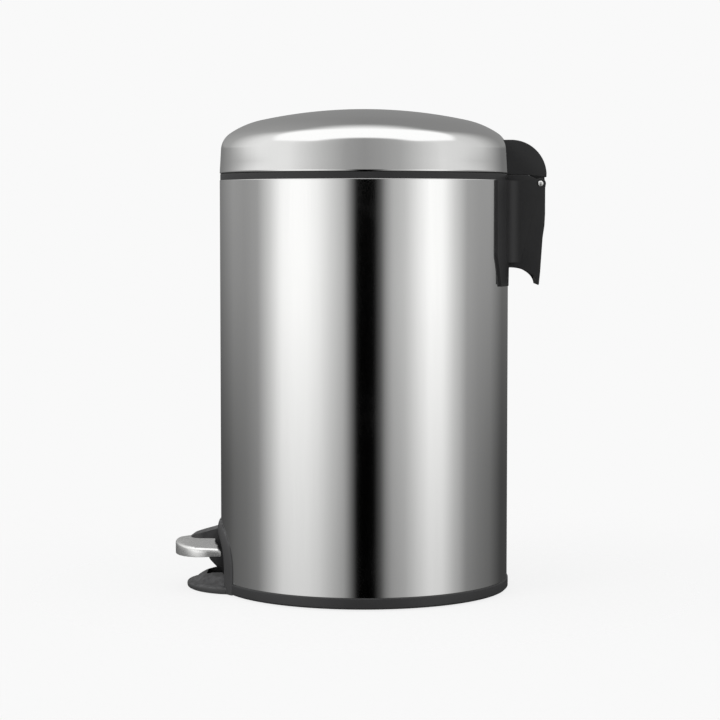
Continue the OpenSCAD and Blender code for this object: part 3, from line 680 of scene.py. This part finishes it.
def arch_outline(half, top, foot, steps, middle=20.0, exponent=2.4):
    """An arch with a rounded square top and straight legs, from the right foot over to the left."""
    legs = [(half, foot), (half, foot + (middle - foot) * 0.4), (half, foot + (middle - foot) * 0.75)]
    over = []
    for i in range(steps + 1):
        a = math.pi * i / steps
        over.append((
            half * power(math.cos(a), 2 / exponent),
            middle + (top - middle) * power(math.sin(a), 2 / exponent),
        ))
    return legs + over + [(-x, z) for x, z in reversed(legs)]


class BIN_OT_surround(bpy.types.Operator):
    """Black arch round the pedal, swelling out of the steel, with the toe plate under the pedal"""
    bl_idname = "waste_bin.surround"
    bl_label = "Pedal surround"

    def execute(self, context):
        r = high("body_shell").x
        top = high("pedal_surround").z
        half = 55.5
        band = 11.0
        leg_share = 1.36
        section = [
            (0.0, r + 0.06), (0.0, r + 0.55), (0.35, r + 1.1), (1.1, r + 1.55), (2.6, r + 2.15),
            (4.4, r + 2.65), (6.2, r + 2.95), (8.0, r + 3.0), (9.3, r + 2.8), (10.3, r + 2.3),
            (10.85, r + 1.5), (band, r + 0.6),
            (band, r - 3.2), (band - 1.9, r - 3.2), (band - 1.9, r + 0.06),
        ]
        arches = [arch_outline(half - d * leg_share, top - d, 1.0, 72) for d, _ in section]
        bm = bmesh.new()
        rings = []
        for step in range(len(arches[0])):
            points = []
            for (d, radius), line in zip(section, arches):
                x, z = line[step]
                points.append((x, -math.sqrt(radius * radius - x * x), z))
            rings.append(chain(bm, points)[1])
        arch = bridge(bm, rings)

        nose = low("pedal_surround").y
        centre = -r + 17
        wide = 50.0
        deep = centre - nose
        sill = 14.4

        def height(rho):
            lip = 5.9
            inward = min(1.0, (1 - rho) / 0.42)
            rise = inward * inward * (3 - 2 * inward)
            valley = 0.9 * math.exp(-((rho - 0.86) / 0.05) ** 2)
            return lip + (sill - lip) * rise - valley

        rings = []
        bm = bmesh.new()
        levels = [(0.95, 0.4), (0.985, 1.2), (0.998, 2.5), (1.0, 4.0), (0.994, 5.1), (0.982, 5.7)]
        levels += [(0.968, 5.9)]
        inner = [0.95, 0.93, 0.91, 0.885, 0.86, 0.83, 0.79, 0.74, 0.68, 0.6, 0.52, 0.44, 0.36, 0.28]
        levels += [(rho, height(rho)) for rho in inner]
        steps = 96
        for rho, z in levels:
            line = []
            for i in range(steps + 1):
                a = math.pi + math.pi * i / steps
                line.append((wide * rho * math.cos(a), centre + deep * rho * math.sin(a), z))
            rings.append(chain(bm, line, False)[1])
        plate = cut(bridge(bm, rings), rod("Z", 0, 0, -5, 40, r - 0.7, 192))
        plate = cut(plate, prism(rounded([
            (-15, -r - 12, 3), (15, -r - 12, 3), (15, -r + 30), (-15, -r + 30),
        ]), "Z", 5.0, 40))
        bm = weld(arch, plate)
        # Its finish paints the surround's up-facing tops lighter: painted top light.
        add_piece(bm, "Pedal_surround", "body", "scuffed_plastic", ["pedal_surround"], 38)
        return {"FINISHED"}


class BIN_OT_housing(bpy.types.Operator):
    """Black hinge housing with its flared flange, finger grip and knuckles"""
    bl_idname = "waste_bin.housing"
    bl_label = "Hinge housing"

    def execute(self, context):
        shape = context.scene.bin_shape
        r = high("body_shell").x
        foot = low("hinge_housing").z
        hy, hz = joint_place("lid_hinge").yz
        half, cavity, web = HINGE_HALF, 22.4, foot + 38
        turns = [math.radians(90 * i / 24) for i in range(25)]
        arch = [(r + 24.3 * math.sin(a), foot + 15.7 * math.cos(a)) for a in turns]
        knuckle = arc(hy, hz, 4.6, 128, -18, 14)
        outline = rounded(
            [(r - 2, hz + 7.5), (hy - 10, hz + 7)] + [(p[0], p[1]) for p in knuckle]
            + [(hy + 4, hz - 4), (hy + 4, web + 23.5, 20), (hy + 3.5, web + 13.5, 20),
               (hy + 2, web + 3.5, 20), (hy + 1, web - 11.5, 20), (hy, web - 26.5, 20),
               (hy - 1, web - 36.5), (hy - 1.5, foot + 0.4, 0.4)]
            + list(reversed(arch))[1:] + [(r - 2, foot + 15.7)]
        )
        block = prism(outline, "X", -half, half, shape.edge, 4)
        wall = rounded([(r - 4, hz - 7.5), (hy + 1.8, hz - 7.5, 1), (hy + 1.8, web + 23), (hy, web + 2, 1),
                        (r - 4, web + 2)])
        block = cut(block, prism(wall, "X", -cavity, cavity, 0.6, 2))
        grip = rounded([(r - 4, foot - 3), (hy - 3.4, foot - 3), (hy - 2.4, web - 30), (hy - 1.4, web - 12),
                        (hy - 0.8, web - 0.4, 4), (r - 4, web - 0.4)])
        block = cut(block, prism(grip, "X", -cavity, cavity, 0.8, 3))
        block = cut(block, box_of((-cavity, cavity), (r - 4, hy + 12), (hz - 7.5, hz + 22)))
        for side in (-1, 1):
            near, far = ends(side, 6.4, 17.0)
            block = weld(block, rod("X", hy, hz, near, far, 4.6, 48, 0.4))
            web_plate = [(hy - 2, hz - 10), (hy + 3.6, hz - 10), (hy + 3.6, hz - 1), (hy - 2, hz - 1)]
            block = weld(block, prism(web_plate, "X", near + 0.3, far - 0.3))

        flare = 12.0
        reach = math.sqrt((r + 2 + flare) ** 2 - (half + flare) ** 2)
        for side in (-1, 1):
            curve = arc(side * (half + flare), reach, flare, *((180, 268) if side > 0 else (0, -88)), 20)
            inside = side * (half - 1.5)
            plan = [(inside, reach), *curve, (side * (half + flare), r - 8), (inside, r - 8)]
            block = weld(block, prism(plan, "Z", web - 18, 354.6))

        wide = 58.5
        outline = rounded([
            (-wide, 354.9, 0.6), (-wide, web - 12, 14), (3 - wide, web - 21, 10), (8 - wide, foot, 1.2),
            (-half - 2, foot, 1.2), (-half - 0.5, foot + 15.7, 2),
            (half + 0.5, foot + 15.7, 2), (half + 2, foot, 1.2),
            (wide - 8, foot, 1.2), (wide - 3, web - 21, 10), (wide, web - 12, 14), (wide, 354.9, 0.6),
        ])
        strip = lathe(rounded([(r - 3, foot - 5), (r + 2, foot - 5), (r + 2, 360), (r - 3, 360)]), 96, 58, 64)
        strip = combine(strip, prism(outline, "Y", 80, 150), "INTERSECT")
        block = weld(block, strip)
        block = cut(block, rod("Z", 0, 0, foot - 10, 370, r + 0.06, 256))
        block = cut(block, box_of((-cavity, cavity), (r - 10, r + 4), (web + 2, hz + 20)))
        for side in (-1, 1):
            for z in (web + 8, web + 36):
                block = weld(block, rod("Y", side * 18.6, z, r + 0.1, r + 10, 4.0, 32, 0.4))
            near, far = ends(side, 24.1, 26.0)
            block = cut(block, rod("X", hy, hz, near, far, 3.1, 40))
        add_piece(block, "Hinge_housing", "body", "black_plastic", ["hinge_housing"], 30)

        # The pin's two ends are domed and stand just out of the housing's sides.
        turns = [math.radians(10 * i) for i in range(9, -1, -1)]
        dome = [(2.5 * math.sin(a), half + 0.1 + 1.15 * math.cos(a)) for a in turns]
        section = [(x, -z) for x, z in reversed(dome)] + dome
        bar = lathe(section, 48, closed=False)
        upright = Matrix.Rotation(math.radians(90), 3, "Y")
        bmesh.ops.rotate(bar, verts=bar.verts, cent=(0, 0, 0), matrix=upright)
        bmesh.ops.translate(bar, verts=bar.verts, vec=(0, hy, hz))
        add_piece(bar, "Hinge_pin", "body", "pedal_steel", ["hinge_pin"], 50)
        return {"FINISHED"}


class BIN_OT_lid(bpy.types.Operator):
    """Polished steel dome drawn from three arcs, with its black inner ring"""
    bl_idname = "waste_bin.lid"
    bl_label = "Lid dome and ring"

    def execute(self, context):
        shape = context.scene.bin_shape
        r = high("lid_dome").x
        base = low("lid_dome").z
        peak = high("lid_dome").z
        outside = lid_section(r, base, peak, shape.lid_lean, 0.0)
        inside = lid_section(r, base, peak, shape.lid_lean, WALL)
        curl = [(r - 0.06, base + 0.18), (r - 0.22, base), (r - 0.6, base), (r - 0.74, base + 0.18)]
        outside[0] = (outside[0][0], base + 0.5)
        inside[0] = (inside[0][0], base + 0.5)
        section = outside + list(reversed(inside)) + list(reversed(curl))
        bm = lathe(section)
        add_piece(bm, "Lid_dome", "lid", "polished_steel", ["lid_dome"], 40)

        ring = high("lid_ring")
        start = low("lid_ring").z
        ring_bm = lathe(rounded([
            (121.2, start, 0.4), (ring.x - 0.05, start, 0.4), (ring.x - 0.05, ring.z - 0.1, 0.4),
            (122.8, ring.z, 0.4), (122.3, ring.z - 2.5, 0.3), (121.2, ring.z - 2.9, 0.3),
        ]), 192)
        add_piece(ring_bm, "Lid_ring", "lid", "black_plastic", ["lid_ring"])
        return {"FINISHED"}


def lid_section(r, base, peak, lean, t):
    """Half of the lid's section from rim to apex, drawn in by a wall thickness."""
    shoulder, haunch, crown = 18.0, 75.0, 420.0
    edge = r - 35
    crown_a = math.asin(edge / crown)
    hx = (crown - haunch) * math.sin(crown_a)
    rise = 18.7
    cx = r - shoulder * math.cos(lean) - (rise + shoulder * math.sin(lean)) * math.tan(lean)
    haunch_a = math.asin((cx - hx) / (haunch - shoulder))
    drop = (haunch - shoulder) * math.cos(haunch_a) + (crown - haunch) * math.cos(crown_a)
    sz = peak - crown + drop
    hz = sz - (haunch - shoulder) * math.cos(haunch_a)
    cz = hz - (crown - haunch) * math.cos(crown_a)
    lean_deg, h_deg, c_deg = (math.degrees(a) for a in (lean, haunch_a, crown_a))
    low_side = [base, base + 1.4, base + 9]
    reach = cx + (shoulder - t) * math.cos(lean)
    points = [(reach + (sz + shoulder * math.sin(lean) - z) * math.tan(lean), z) for z in low_side]
    points += arc(cx, sz, shoulder - t, lean_deg, 90 - h_deg, 20)
    points += arc(hx, hz, haunch - t, 90 - h_deg, 90 - c_deg, 20)[1:]
    points += arc(0, cz, crown - t, 90 - c_deg, 90, 24)[1:]
    return points


class BIN_OT_cap(bpy.types.Operator):
    """Black quarter-round cap over the hinge, with a lip that lies on the dome"""
    bl_idname = "waste_bin.cap"
    bl_label = "Hinge cap"

    def execute(self, context):
        shape = context.scene.bin_shape
        r = high("lid_dome").x
        base, peak = low("lid_dome").z, high("lid_dome").z
        hy, hz = joint_place("lid_hinge").yz
        cy, cz = r + 1.0, base - 2.0
        size = high("hinge_cap").z - cz
        outer = rounded(
            [(r - 11.9, hz + 8.0), (hy - 10, hz + 7.25, 6), (cy + size * 0.995, hz + 5.4, 0.5)]
            + [(p[0], p[1]) for p in arc(cy, cz, size, 4, 90, 32)]
            + [(r - 10, cz + size, 1.5), (r - 12, cz + size - 2.2, 1.2)]
        )
        bm = prism(outer, "X", -HINGE_HALF, HINGE_HALF, shape.edge, 4)
        inner = rounded(
            [(r + 2.4, hz - 4), (hy + 6, hz - 4)]
            + [(p[0], p[1]) for p in arc(cy, cz, size - 2.3, 2, 85, 24)]
            + [(r + 2.4, cz + size - 2.4)]
        )
        bm = cut(bm, prism(inner, "X", -22, 22, 0.8, 3))
        section = lid_section(r + 0.06, base - 0.2, peak + 0.06, shape.lid_lean, 0.0)
        plug = lathe(section + [(0.0, base - 0.2)], 256)
        bm = cut(bm, plug)
        bm = cut(bm, rod("Z", 0, 0, 300, base + 0.5, r + 0.06, 256))
        bm = cut(bm, box_of((-14.3, 14.3), (60, r + 2.5), (base + 2.7, base + 17.3)))
        for side in (-1, 1):
            near, far = ends(side, 17.0, 22.3)
            ear = rounded(
                [(p[0], p[1]) for p in arc(hy, hz, 4.6, 200, 340, 20)]
                + [(hy + 2.8, hz + 12), (hy - 1, hz + 20), (hy - 10.3, hz + 30), (hy - 10.3, hz + 10)]
            )
            bm = weld(bm, prism(ear, "X", near, far, 0.4, 2))
        bm = cut(bm, rod("X", hy, hz, -30, 30, 2.56, 40))
        add_piece(bm, "Hinge_cap", "lid", "black_plastic", ["hinge_cap"], 30)
        return {"FINISHED"}


def pedal_outline(half, nose, middle, back_r, inset, steps=64):
    """The pedal from above: a half-ellipse nose, straight sides and a hollow back along the body."""
    front = []
    for i in range(steps + 1):
        a = -math.pi * i / steps
        front.append(((half - inset) * math.cos(a), middle + (middle - nose - inset) * math.sin(a)))
    back = []
    r = back_r + inset
    reach = math.degrees(math.asin((half - inset) / r))
    for x, y in arc(0, 0, r, -90 - reach, -90 + reach, 24):
        back.append((x, y))
    return front + back


def crowned(outline, lows, ball_y, ball_r, peak):
    """A prism over an outline whose top follows a ball and whose foot slopes from nose to back."""
    nose_low, back_low, nose_y, back_y = lows
    bm = prism(outline, "Z", 0.0, 1.0)
    xs = [p[0] for p in outline]
    ys = [p[1] for p in outline]
    for axis, values in ((0, xs), (1, ys)):
        count = int((max(values) - min(values)) / SLICE)
        for i in range(1, count):
            at = min(values) + (max(values) - min(values)) * i / count
            point = Vector((at if axis == 0 else 0, at if axis == 1 else 0, 0))
            normal = Vector((1 if axis == 0 else 0, 1 if axis == 1 else 0, 0))
            bmesh.ops.bisect_plane(
                bm, geom=bm.verts[:] + bm.edges[:] + bm.faces[:], plane_co=point, plane_no=normal, dist=1e-4,
            )
    for vert in bm.verts:
        x, y = vert.co.x, vert.co.y
        if vert.co.z > 0.5:
            vert.co.z = peak - ball_r + math.sqrt(ball_r ** 2 - x * x - (y - ball_y) ** 2)
        else:
            share = (y - nose_y) / (back_y - nose_y)
            vert.co.z = nose_low + (back_low - nose_low) * min(1.0, max(0.0, share))
    bmesh.ops.recalc_face_normals(bm, faces=bm.faces)
    return bm


def soften(bm, amount, segments, level, upper=True):
    """Rounds the rim between a prism's sides and its top or its foot."""
    bm.normal_update()
    rim = []
    for e in bm.edges:
        if len(e.link_faces) != 2:
            continue
        a, b = (f.normal.z for f in e.link_faces)
        flat, side = (max(a, b), min(abs(a), abs(b))) if upper else (-min(a, b), min(abs(a), abs(b)))
        if flat > 0.75 and side < 0.3 and (e.verts[0].co.z > level) == upper:
            rim.append(e)
    bmesh.ops.bevel(
        bm, geom=rim, offset=amount, offset_type="OFFSET", segments=segments,
        affect="EDGES", profile=0.5, material=-1, clamp_overlap=False,
    )
    tidy(bm)


class BIN_OT_pedal(bpy.types.Operator):
    """Steel pedal cap with its black core and hump"""
    bl_idname = "waste_bin.pedal"
    bl_label = "Pedal"

    def execute(self, context):
        r = high("body_shell").x
        lo, hi = low("pedal_plate"), high("pedal_plate")
        nose, half = lo.y, hi.x
        middle = nose + 31
        peak = 44.5
        lows = (lo.z - 1.2, peak - 12.4, nose, -r)
        back = r + 4.5
        plan = pedal_outline(half, nose, middle, back, 0.0)
        bm = crowned(plan, lows, nose + 28, CROWN_BALL, peak)
        soften(bm, 2.2, 4, 38.0)
        soften(bm, 0.7, 2, 38.0, False)
        tip = -r - 26.5
        hollow = crowned(
            pedal_outline(half, nose, middle, back, 1.3), (lo.z - 6, lo.z - 6, nose, -r),
            nose + 28, CROWN_BALL, peak - 1.25,
        )
        bm = cut(bm, hollow)
        add_piece(bm, "Pedal_plate", "pedal", "pedal_steel", ["pedal_plate"], 34)

        core = crowned(
            pedal_outline(half, nose, middle, back, 1.4), (lo.z + 0.8, peak - 10.2, nose, -r),
            nose + 28, CROWN_BALL, peak - 1.35,
        )
        slot = [(-11.95, tip + 12), (-11.95, -r - 2.6), (11.95, -r - 2.6), (11.95, tip + 12)]
        slot += arc(0, tip + 12, 11.95, 0, -180, 32)[1:-1]
        hump = prism(slot, "Z", peak - 8, peak + 30)
        wedge = rounded([(tip - 4, peak - 20), (tip - 4, peak - 0.4), (tip + 0.6, peak + 0.6, 3),
                         (tip + 4, peak + 2.6, 6), (-r - 2.6, peak + 8.1), (-r - 2.6, peak - 20)])
        hump = combine(hump, prism(wedge, "X", -30, 30), "INTERSECT")
        hump.normal_update()
        rim = [e for e in hump.edges if len(e.link_faces) == 2
               and max(f.normal.z for f in e.link_faces) > 0.7
               and min(abs(f.normal.z) for f in e.link_faces) < 0.3
               and min(v.co.y for v in e.verts) < -r - 2.7]
        bmesh.ops.bevel(hump, geom=rim, offset=0.9, offset_type="OFFSET", segments=3,
                        affect="EDGES", profile=0.5, material=-1, clamp_overlap=True)
        tidy(hump)
        front = -r + 10
        neck = rounded([
            (-r - 9, 25, 1), (-r - 3, 18.5, 2), (front - 0.5, 18.5), (front - 0.5, 32.05),
            (front + 40, 32.05), (front + 40, peak - 1), (-r + 13, peak + 5, 3), (-r - 2.7, peak + 8.2, 1),
            (-r - 10, peak + 3, 2), (-r - 13, 32, 1),
        ])
        neck = prism(neck, "X", -12, 12, 0.5, 2)
        bm = weld(core, hump)
        bm = weld(bm, neck)
        # Its finish paints the core's up-facing tops lighter: painted top light.
        add_piece(bm, "Pedal_core", "pedal", "scuffed_plastic", ["pedal_core"], 34)
        return {"FINISHED"}


class BIN_OT_rod(bpy.types.Operator):
    """Push rod: one bent wire from the lever up to the hinge arm"""
    bl_idname = "waste_bin.rod"
    bl_label = "Push rod"

    def execute(self, context):
        lo, hi = low("push_rod"), high("push_rod")
        radius = 2.25
        x = lo.x + radius + 0.3
        tip = hi.x
        y0, y1 = lo.y + radius + 0.3, hi.y - radius - 0.3
        z0, z1 = lo.z + radius + 0.3, hi.z - radius - 0.3
        path = bend_path([
            (tip, y0, z0), (x, y0, z0), (x, y0, 306.5), (x, y1, 318.5), (x, y1, z1), (tip, y1, z1),
        ], 3.6)
        bm = sweep(path, lambda i: radius - (0.45 if i in (0, len(path) - 1) else 0.0))
        add_piece(bm, "Push_rod", "rod", "zinc_steel", ["push_rod"], 50)
        return {"FINISHED"}


class BIN_OT_bucket(bpy.types.Operator):
    """Black inner bucket with a rolled rim, its wire bail and grip"""
    bl_idname = "waste_bin.bucket"
    bl_label = "Bucket and bail"

    def execute(self, context):
        lo, hi = low("bucket"), high("bucket")
        rim = hi.x
        foot = lo.z
        ledge = 349.5
        rim_top = ledge + 2.4
        top_r, low_r, t = 113.5, 104.0, 1.6
        section = rounded([
            (0.0, foot + 0.6), (low_r - 9, foot + 0.6, 1), (low_r - 8, foot, 0.5), (low_r - 2, foot, 2.5),
            (low_r + 0.4, foot + 5, 4), (top_r, ledge, 0.6), (rim, ledge, 0.5), (rim, rim_top, 1.0),
            (top_r - t, rim_top, 1.6), (low_r - t + 0.4, foot + 5 + t, 4), (low_r - 3.6, foot + 2 + t, 2),
            (0.0, foot + 2 + t),
        ])
        shells = [lathe(section, 192, closed=False)]
        bail_z = (low("bail_grip").z + high("bail_grip").z) / 2
        ring = -(low("bail_grip").y) - 3.0
        for side in (-1, 1):
            near, far = ends(side, 113.05, 115.25)
            lug = arc(0, bail_z, 3.6, -20, 200, 24)
            lug += [(-6.0, rim_top - 0.3), (6.0, rim_top - 0.3)]
            shells.append(prism(lug, "X", near, far, 0.35, 2))
        bm = join(shells)
        for side in (-1, 1):
            near, far = ends(side, 112.0, 116.0)
            bm = cut(bm, rod("X", 0, bail_z, near, far, 1.86, 24))
        add_piece(bm, "Bucket", "bucket", "bucket_plastic", ["bucket"])

        end = 111.8
        points = [Vector((end, 0, bail_z)), Vector((ring - 2.6, 0, bail_z))]
        points += [Vector((x, y, bail_z)) for x, y in arc(0, 0, ring, -1.6, -178.4, 120)]
        points += [Vector((-ring + 2.6, 0, bail_z)), Vector((-end, 0, bail_z))]
        wire = sweep(points, 1.8, 20)
        add_piece(wire, "Bail_wire", "bail", "zinc_steel", ["bail_wire"], 50)

        span = 16
        count = 72
        path = [Vector((x, y, bail_z)) for x, y in arc(0, 0, ring, -90 - span, -90 + span, count)]

        def swell(i):
            end_fade = min(1.0, min(i, count - i) / 4)
            ribs = 0.16 * math.cos(i * math.tau / 6)
            return 1.9 + 0.92 * math.sqrt(end_fade) + ribs * end_fade

        add_piece(sweep(path, swell, 28), "Bail_grip", "bail", "grip_plastic", ["bail_grip"], 40)
        return {"FINISHED"}


class BIN_OT_fixings(bpy.types.Operator):
    """Gives every CAD piece that stays in view its own procedural finish"""
    bl_idname = "waste_bin.fixings"
    bl_label = "Fixings and linkage"

    def execute(self, context):
        slots = {entry["node"]: entry["material_slot"] for entry in frame["record"]["subparts"]}
        for name, obj in frame["nodes"].items():
            if obj.hide_render:
                continue
            obj.data.materials.clear()
            obj.data.materials.append(finish_of(slots.get(name)))
        return {"FINISHED"}


# ---- Stage ----

def linear(grey):
    c = grey / 255
    return c / 12.92 if c <= 0.04045 else ((c + 0.055) / 1.055) ** 2.4


def azimuth_ramp(tree, factor, stops, tone):
    """A colour ramp round the horizon. stops are (azimuth in degrees, grey level)."""
    made = node(tree, "ShaderNodeValToRGB", {"Fac": factor})
    ramp = made.color_ramp
    ramp.interpolation = "LINEAR"
    while len(ramp.elements) > 1:
        ramp.elements.remove(ramp.elements[-1])
    for i, (azimuth, grey) in enumerate(stops):
        at = (azimuth + 180) / 360
        element = ramp.elements[0] if i == 0 else ramp.elements.new(at)
        element.position = at
        value = linear(grey) * tone
        element.color = (value, value, value * 0.995, 1.0)
    return made.outputs["Color"]


class BIN_OT_stage(bpy.types.Operator):
    """Plain pale floor, soft studio light all round, and the camera square to the bin's side"""
    bl_idname = "waste_bin.stage"
    bl_label = "Stage"

    def execute(self, context):
        scene = context.scene
        plan = scene.bin_stage
        scene.view_settings.view_transform = "Standard"
        scene.view_settings.look = "None"
        self.hide_mirror_images()
        self.studio(scene, plan)
        self.floor(plan)
        self.fill_light(plan)
        self.camera(scene, plan)
        return {"FINISHED"}

    def hide_mirror_images(self):
        """The polished steel shows the studio, not the small parts right beside it."""
        for name in ("Hinge_cap", "Pedal_plate", "Pedal_core"):
            bpy.data.objects[name].visible_glossy = False
        for name in ("hinge_arm", "cap_screws"):
            frame["nodes"][name].visible_glossy = False

    def fill_light(self, plan):
        data = bpy.data.lights.new("Fill", "AREA")
        data.energy = plan.fill
        data.shape = "DISK"
        data.size = 1.6
        obj = bpy.data.objects.new("Fill", data)
        bpy.context.scene.collection.objects.link(obj)
        obj.location = (2.2, -2.2, 2.4)
        obj.rotation_euler = (Vector((0, 0, 0.15)) - obj.location).to_track_quat("-Z", "Y").to_euler()
        obj.visible_glossy = False
        obj.visible_camera = False

    def studio(self, scene, plan):
        world = bpy.data.worlds.new("Studio")
        scene.world = world
        world.use_nodes = True
        tree = world.node_tree
        tree.nodes.clear()
        way = node(tree, "ShaderNodeTexCoord").outputs["Generated"]
        split = node(tree, "ShaderNodeSeparateXYZ", {0: way}).outputs
        azimuth = maths(tree, "ARCTAN2", split["Y"], split["X"])
        turn = remap(tree, azimuth, -math.pi, math.pi, 0.0, 1.0)
        level = azimuth_ramp(tree, turn, [
            (-180, 104), (-155, 119), (-127, 146), (-108, 143), (-93, 152), (-80, 200), (-68, 246),
            (-57, 254), (-46, 252), (-36, 238), (-26, 209), (-16, 178), (-10, 112), (-6, 16), (-3, 0),
            (3, 0), (8, 6), (13, 84), (17, 142), (22, 174), (32, 192), (43, 230), (53, 254), (64, 250),
            (76, 204), (89, 157), (103, 149), (120, 148), (143, 108), (180, 104),
        ], 1.0)
        raised = azimuth_ramp(tree, turn, [
            (-180, 128), (-138, 158), (-108, 218), (-93, 228), (-62, 224), (-36, 186), (-14, 150),
            (0, 141), (14, 149), (29, 162), (48, 196), (64, 215), (85, 212), (108, 199), (132, 151),
            (143, 132), (180, 128),
        ], 1.0)
        lift = remap(tree, split["Z"], 0.045, 0.12, 0.0, 1.0, True)
        side = blend_colours(tree, lift, level, raised)
        crest = maths(tree, "SUBTRACT", split["Z"], remap(tree, split["X"], -0.3, 0.1, 0.87, 0.52))
        over = maths(tree, "MULTIPLY", remap(tree, crest, -0.08, 0.08, 0.0, 1.0, True),
                     remap(tree, split["X"], 0.72, 0.55, 0.0, 1.0, True))
        bright = linear(254)
        sky = blend_colours(tree, over, side, (bright, bright, bright, 1.0))
        lower = remap(tree, split["Z"], -0.165, -0.03, 0.64, 1.0)
        ground = remap(tree, split["Z"], -0.9, -0.2, 0.45, 1.0)
        shade = maths(tree, "MULTIPLY", lower, ground)
        wings = remap(tree, split["X"], -0.75, 0.15, 0.56, 0.0)
        wing_low = remap(tree, split["Z"], -0.115, 0.01, 1.0, 0.0)
        wing = maths(tree, "SUBTRACT", 1.0, maths(tree, "MULTIPLY", wings, wing_low))
        shade = maths(tree, "MULTIPLY", shade, wing)
        strength = maths(tree, "MULTIPLY", shade, plan.studio)
        seen = node(tree, "ShaderNodeBackground", {"Color": (plan.backdrop,) * 3 + (1.0,), "Strength": 1.0})
        lit = node(tree, "ShaderNodeBackground", {"Color": sky, "Strength": strength})
        camera_ray = node(tree, "ShaderNodeLightPath").outputs["Is Camera Ray"]
        mix = node(tree, "ShaderNodeMixShader", {0: camera_ray, 1: lit.outputs[0], 2: seen.outputs[0]})
        out = tree.nodes.new("ShaderNodeOutputWorld")
        tree.links.new(mix.outputs[0], out.inputs["Surface"])

    def floor(self, plan):
        bm = bmesh.new()
        bmesh.ops.create_circle(bm, cap_ends=True, segments=96, radius=1.1)
        bmesh.ops.inset_region(bm, faces=bm.faces[:], thickness=0.25, use_even_offset=True)
        mesh = bpy.data.meshes.new("Floor")
        bm.to_mesh(mesh)
        bm.free()
        obj = bpy.data.objects.new("Floor", mesh)
        bpy.context.scene.collection.objects.link(obj)
        made, tree, shader = new_material("Pale floor")
        coords = object_coords(tree)
        reach = node(tree, "ShaderNodeVectorMath", {0: coords}, operation="LENGTH").outputs["Value"]
        fade = remap(tree, reach, 0.16, 0.62, 1.0, 0.0, True)
        speck = remap(tree, noise(tree, coords, 240.0, 3.0), 0.3, 0.7, 0.14, 0.16)
        tone = node(tree, "ShaderNodeCombineColor", {0: speck, 1: speck, 2: speck}).outputs[0]
        tree.links.new(tone, shader.inputs["Base Color"])
        shader.inputs["Roughness"].default_value = 0.9
        shader.inputs["Specular IOR Level"].default_value = 0.0
        shader.inputs["Emission Color"].default_value = (1.0, 1.0, 1.0, 1.0)
        shader.inputs["Emission Strength"].default_value = plan.floor_glow
        tree.links.new(maths(tree, "MULTIPLY", fade, 0.85), shader.inputs["Alpha"])
        mesh.materials.append(made)
        obj.visible_glossy = False

    def camera(self, scene, plan):
        data = bpy.data.cameras.new("Camera")
        data.lens = plan.lens
        data.sensor_width = 36.0
        data.clip_start = 0.05
        obj = bpy.data.objects.new("Camera", data)
        scene.collection.objects.link(obj)
        place = Vector((1.9375, -0.0035, 0.326))
        aim = Vector((0.0, -0.0035, 0.1989))
        obj.location = place
        obj.rotation_euler = (aim - place).to_track_quat("-Z", "Y").to_euler()
        scene.camera = obj


class BIN_PT_panel(bpy.types.Panel):
    """Lists the pieces in the 3D view's sidebar"""
    bl_idname = "BIN_PT_panel"
    bl_label = "Waste bin"
    bl_space_type = "VIEW_3D"
    bl_region_type = "UI"
    bl_category = "Waste bin"

    def draw(self, context):
        for settings in (context.scene.bin_look, context.scene.bin_shape, context.scene.bin_stage):
            box = self.layout.box()
            for key in settings.__annotations__:
                box.prop(settings, key)
        for piece in OPERATORS:
            self.layout.operator(piece.bl_idname)


OPERATORS = (
    BIN_OT_body, BIN_OT_surround, BIN_OT_housing, BIN_OT_lid, BIN_OT_cap, BIN_OT_pedal,
    BIN_OT_rod, BIN_OT_bucket, BIN_OT_fixings, BIN_OT_stage,
)
CLASSES = (BinLook, BinShape, BinStage) + OPERATORS + (BIN_PT_panel,)


def register():
    for cls in CLASSES:
        bpy.utils.register_class(cls)
    bpy.types.Scene.bin_look = bpy.props.PointerProperty(type=BinLook)
    bpy.types.Scene.bin_shape = bpy.props.PointerProperty(type=BinShape)
    bpy.types.Scene.bin_stage = bpy.props.PointerProperty(type=BinStage)


def unregister():
    del bpy.types.Scene.bin_stage
    del bpy.types.Scene.bin_shape
    del bpy.types.Scene.bin_look
    for cls in reversed(CLASSES):
        bpy.utils.unregister_class(cls)


def main():
    register()
    bpy.ops.waste_bin.body()
    bpy.ops.waste_bin.surround()
    bpy.ops.waste_bin.housing()
    bpy.ops.waste_bin.lid()
    bpy.ops.waste_bin.cap()
    bpy.ops.waste_bin.pedal()
    bpy.ops.waste_bin.rod()
    bpy.ops.waste_bin.bucket()
    bpy.ops.waste_bin.fixings()
    bpy.ops.waste_bin.stage()


if __name__ == "__main__":
    main()
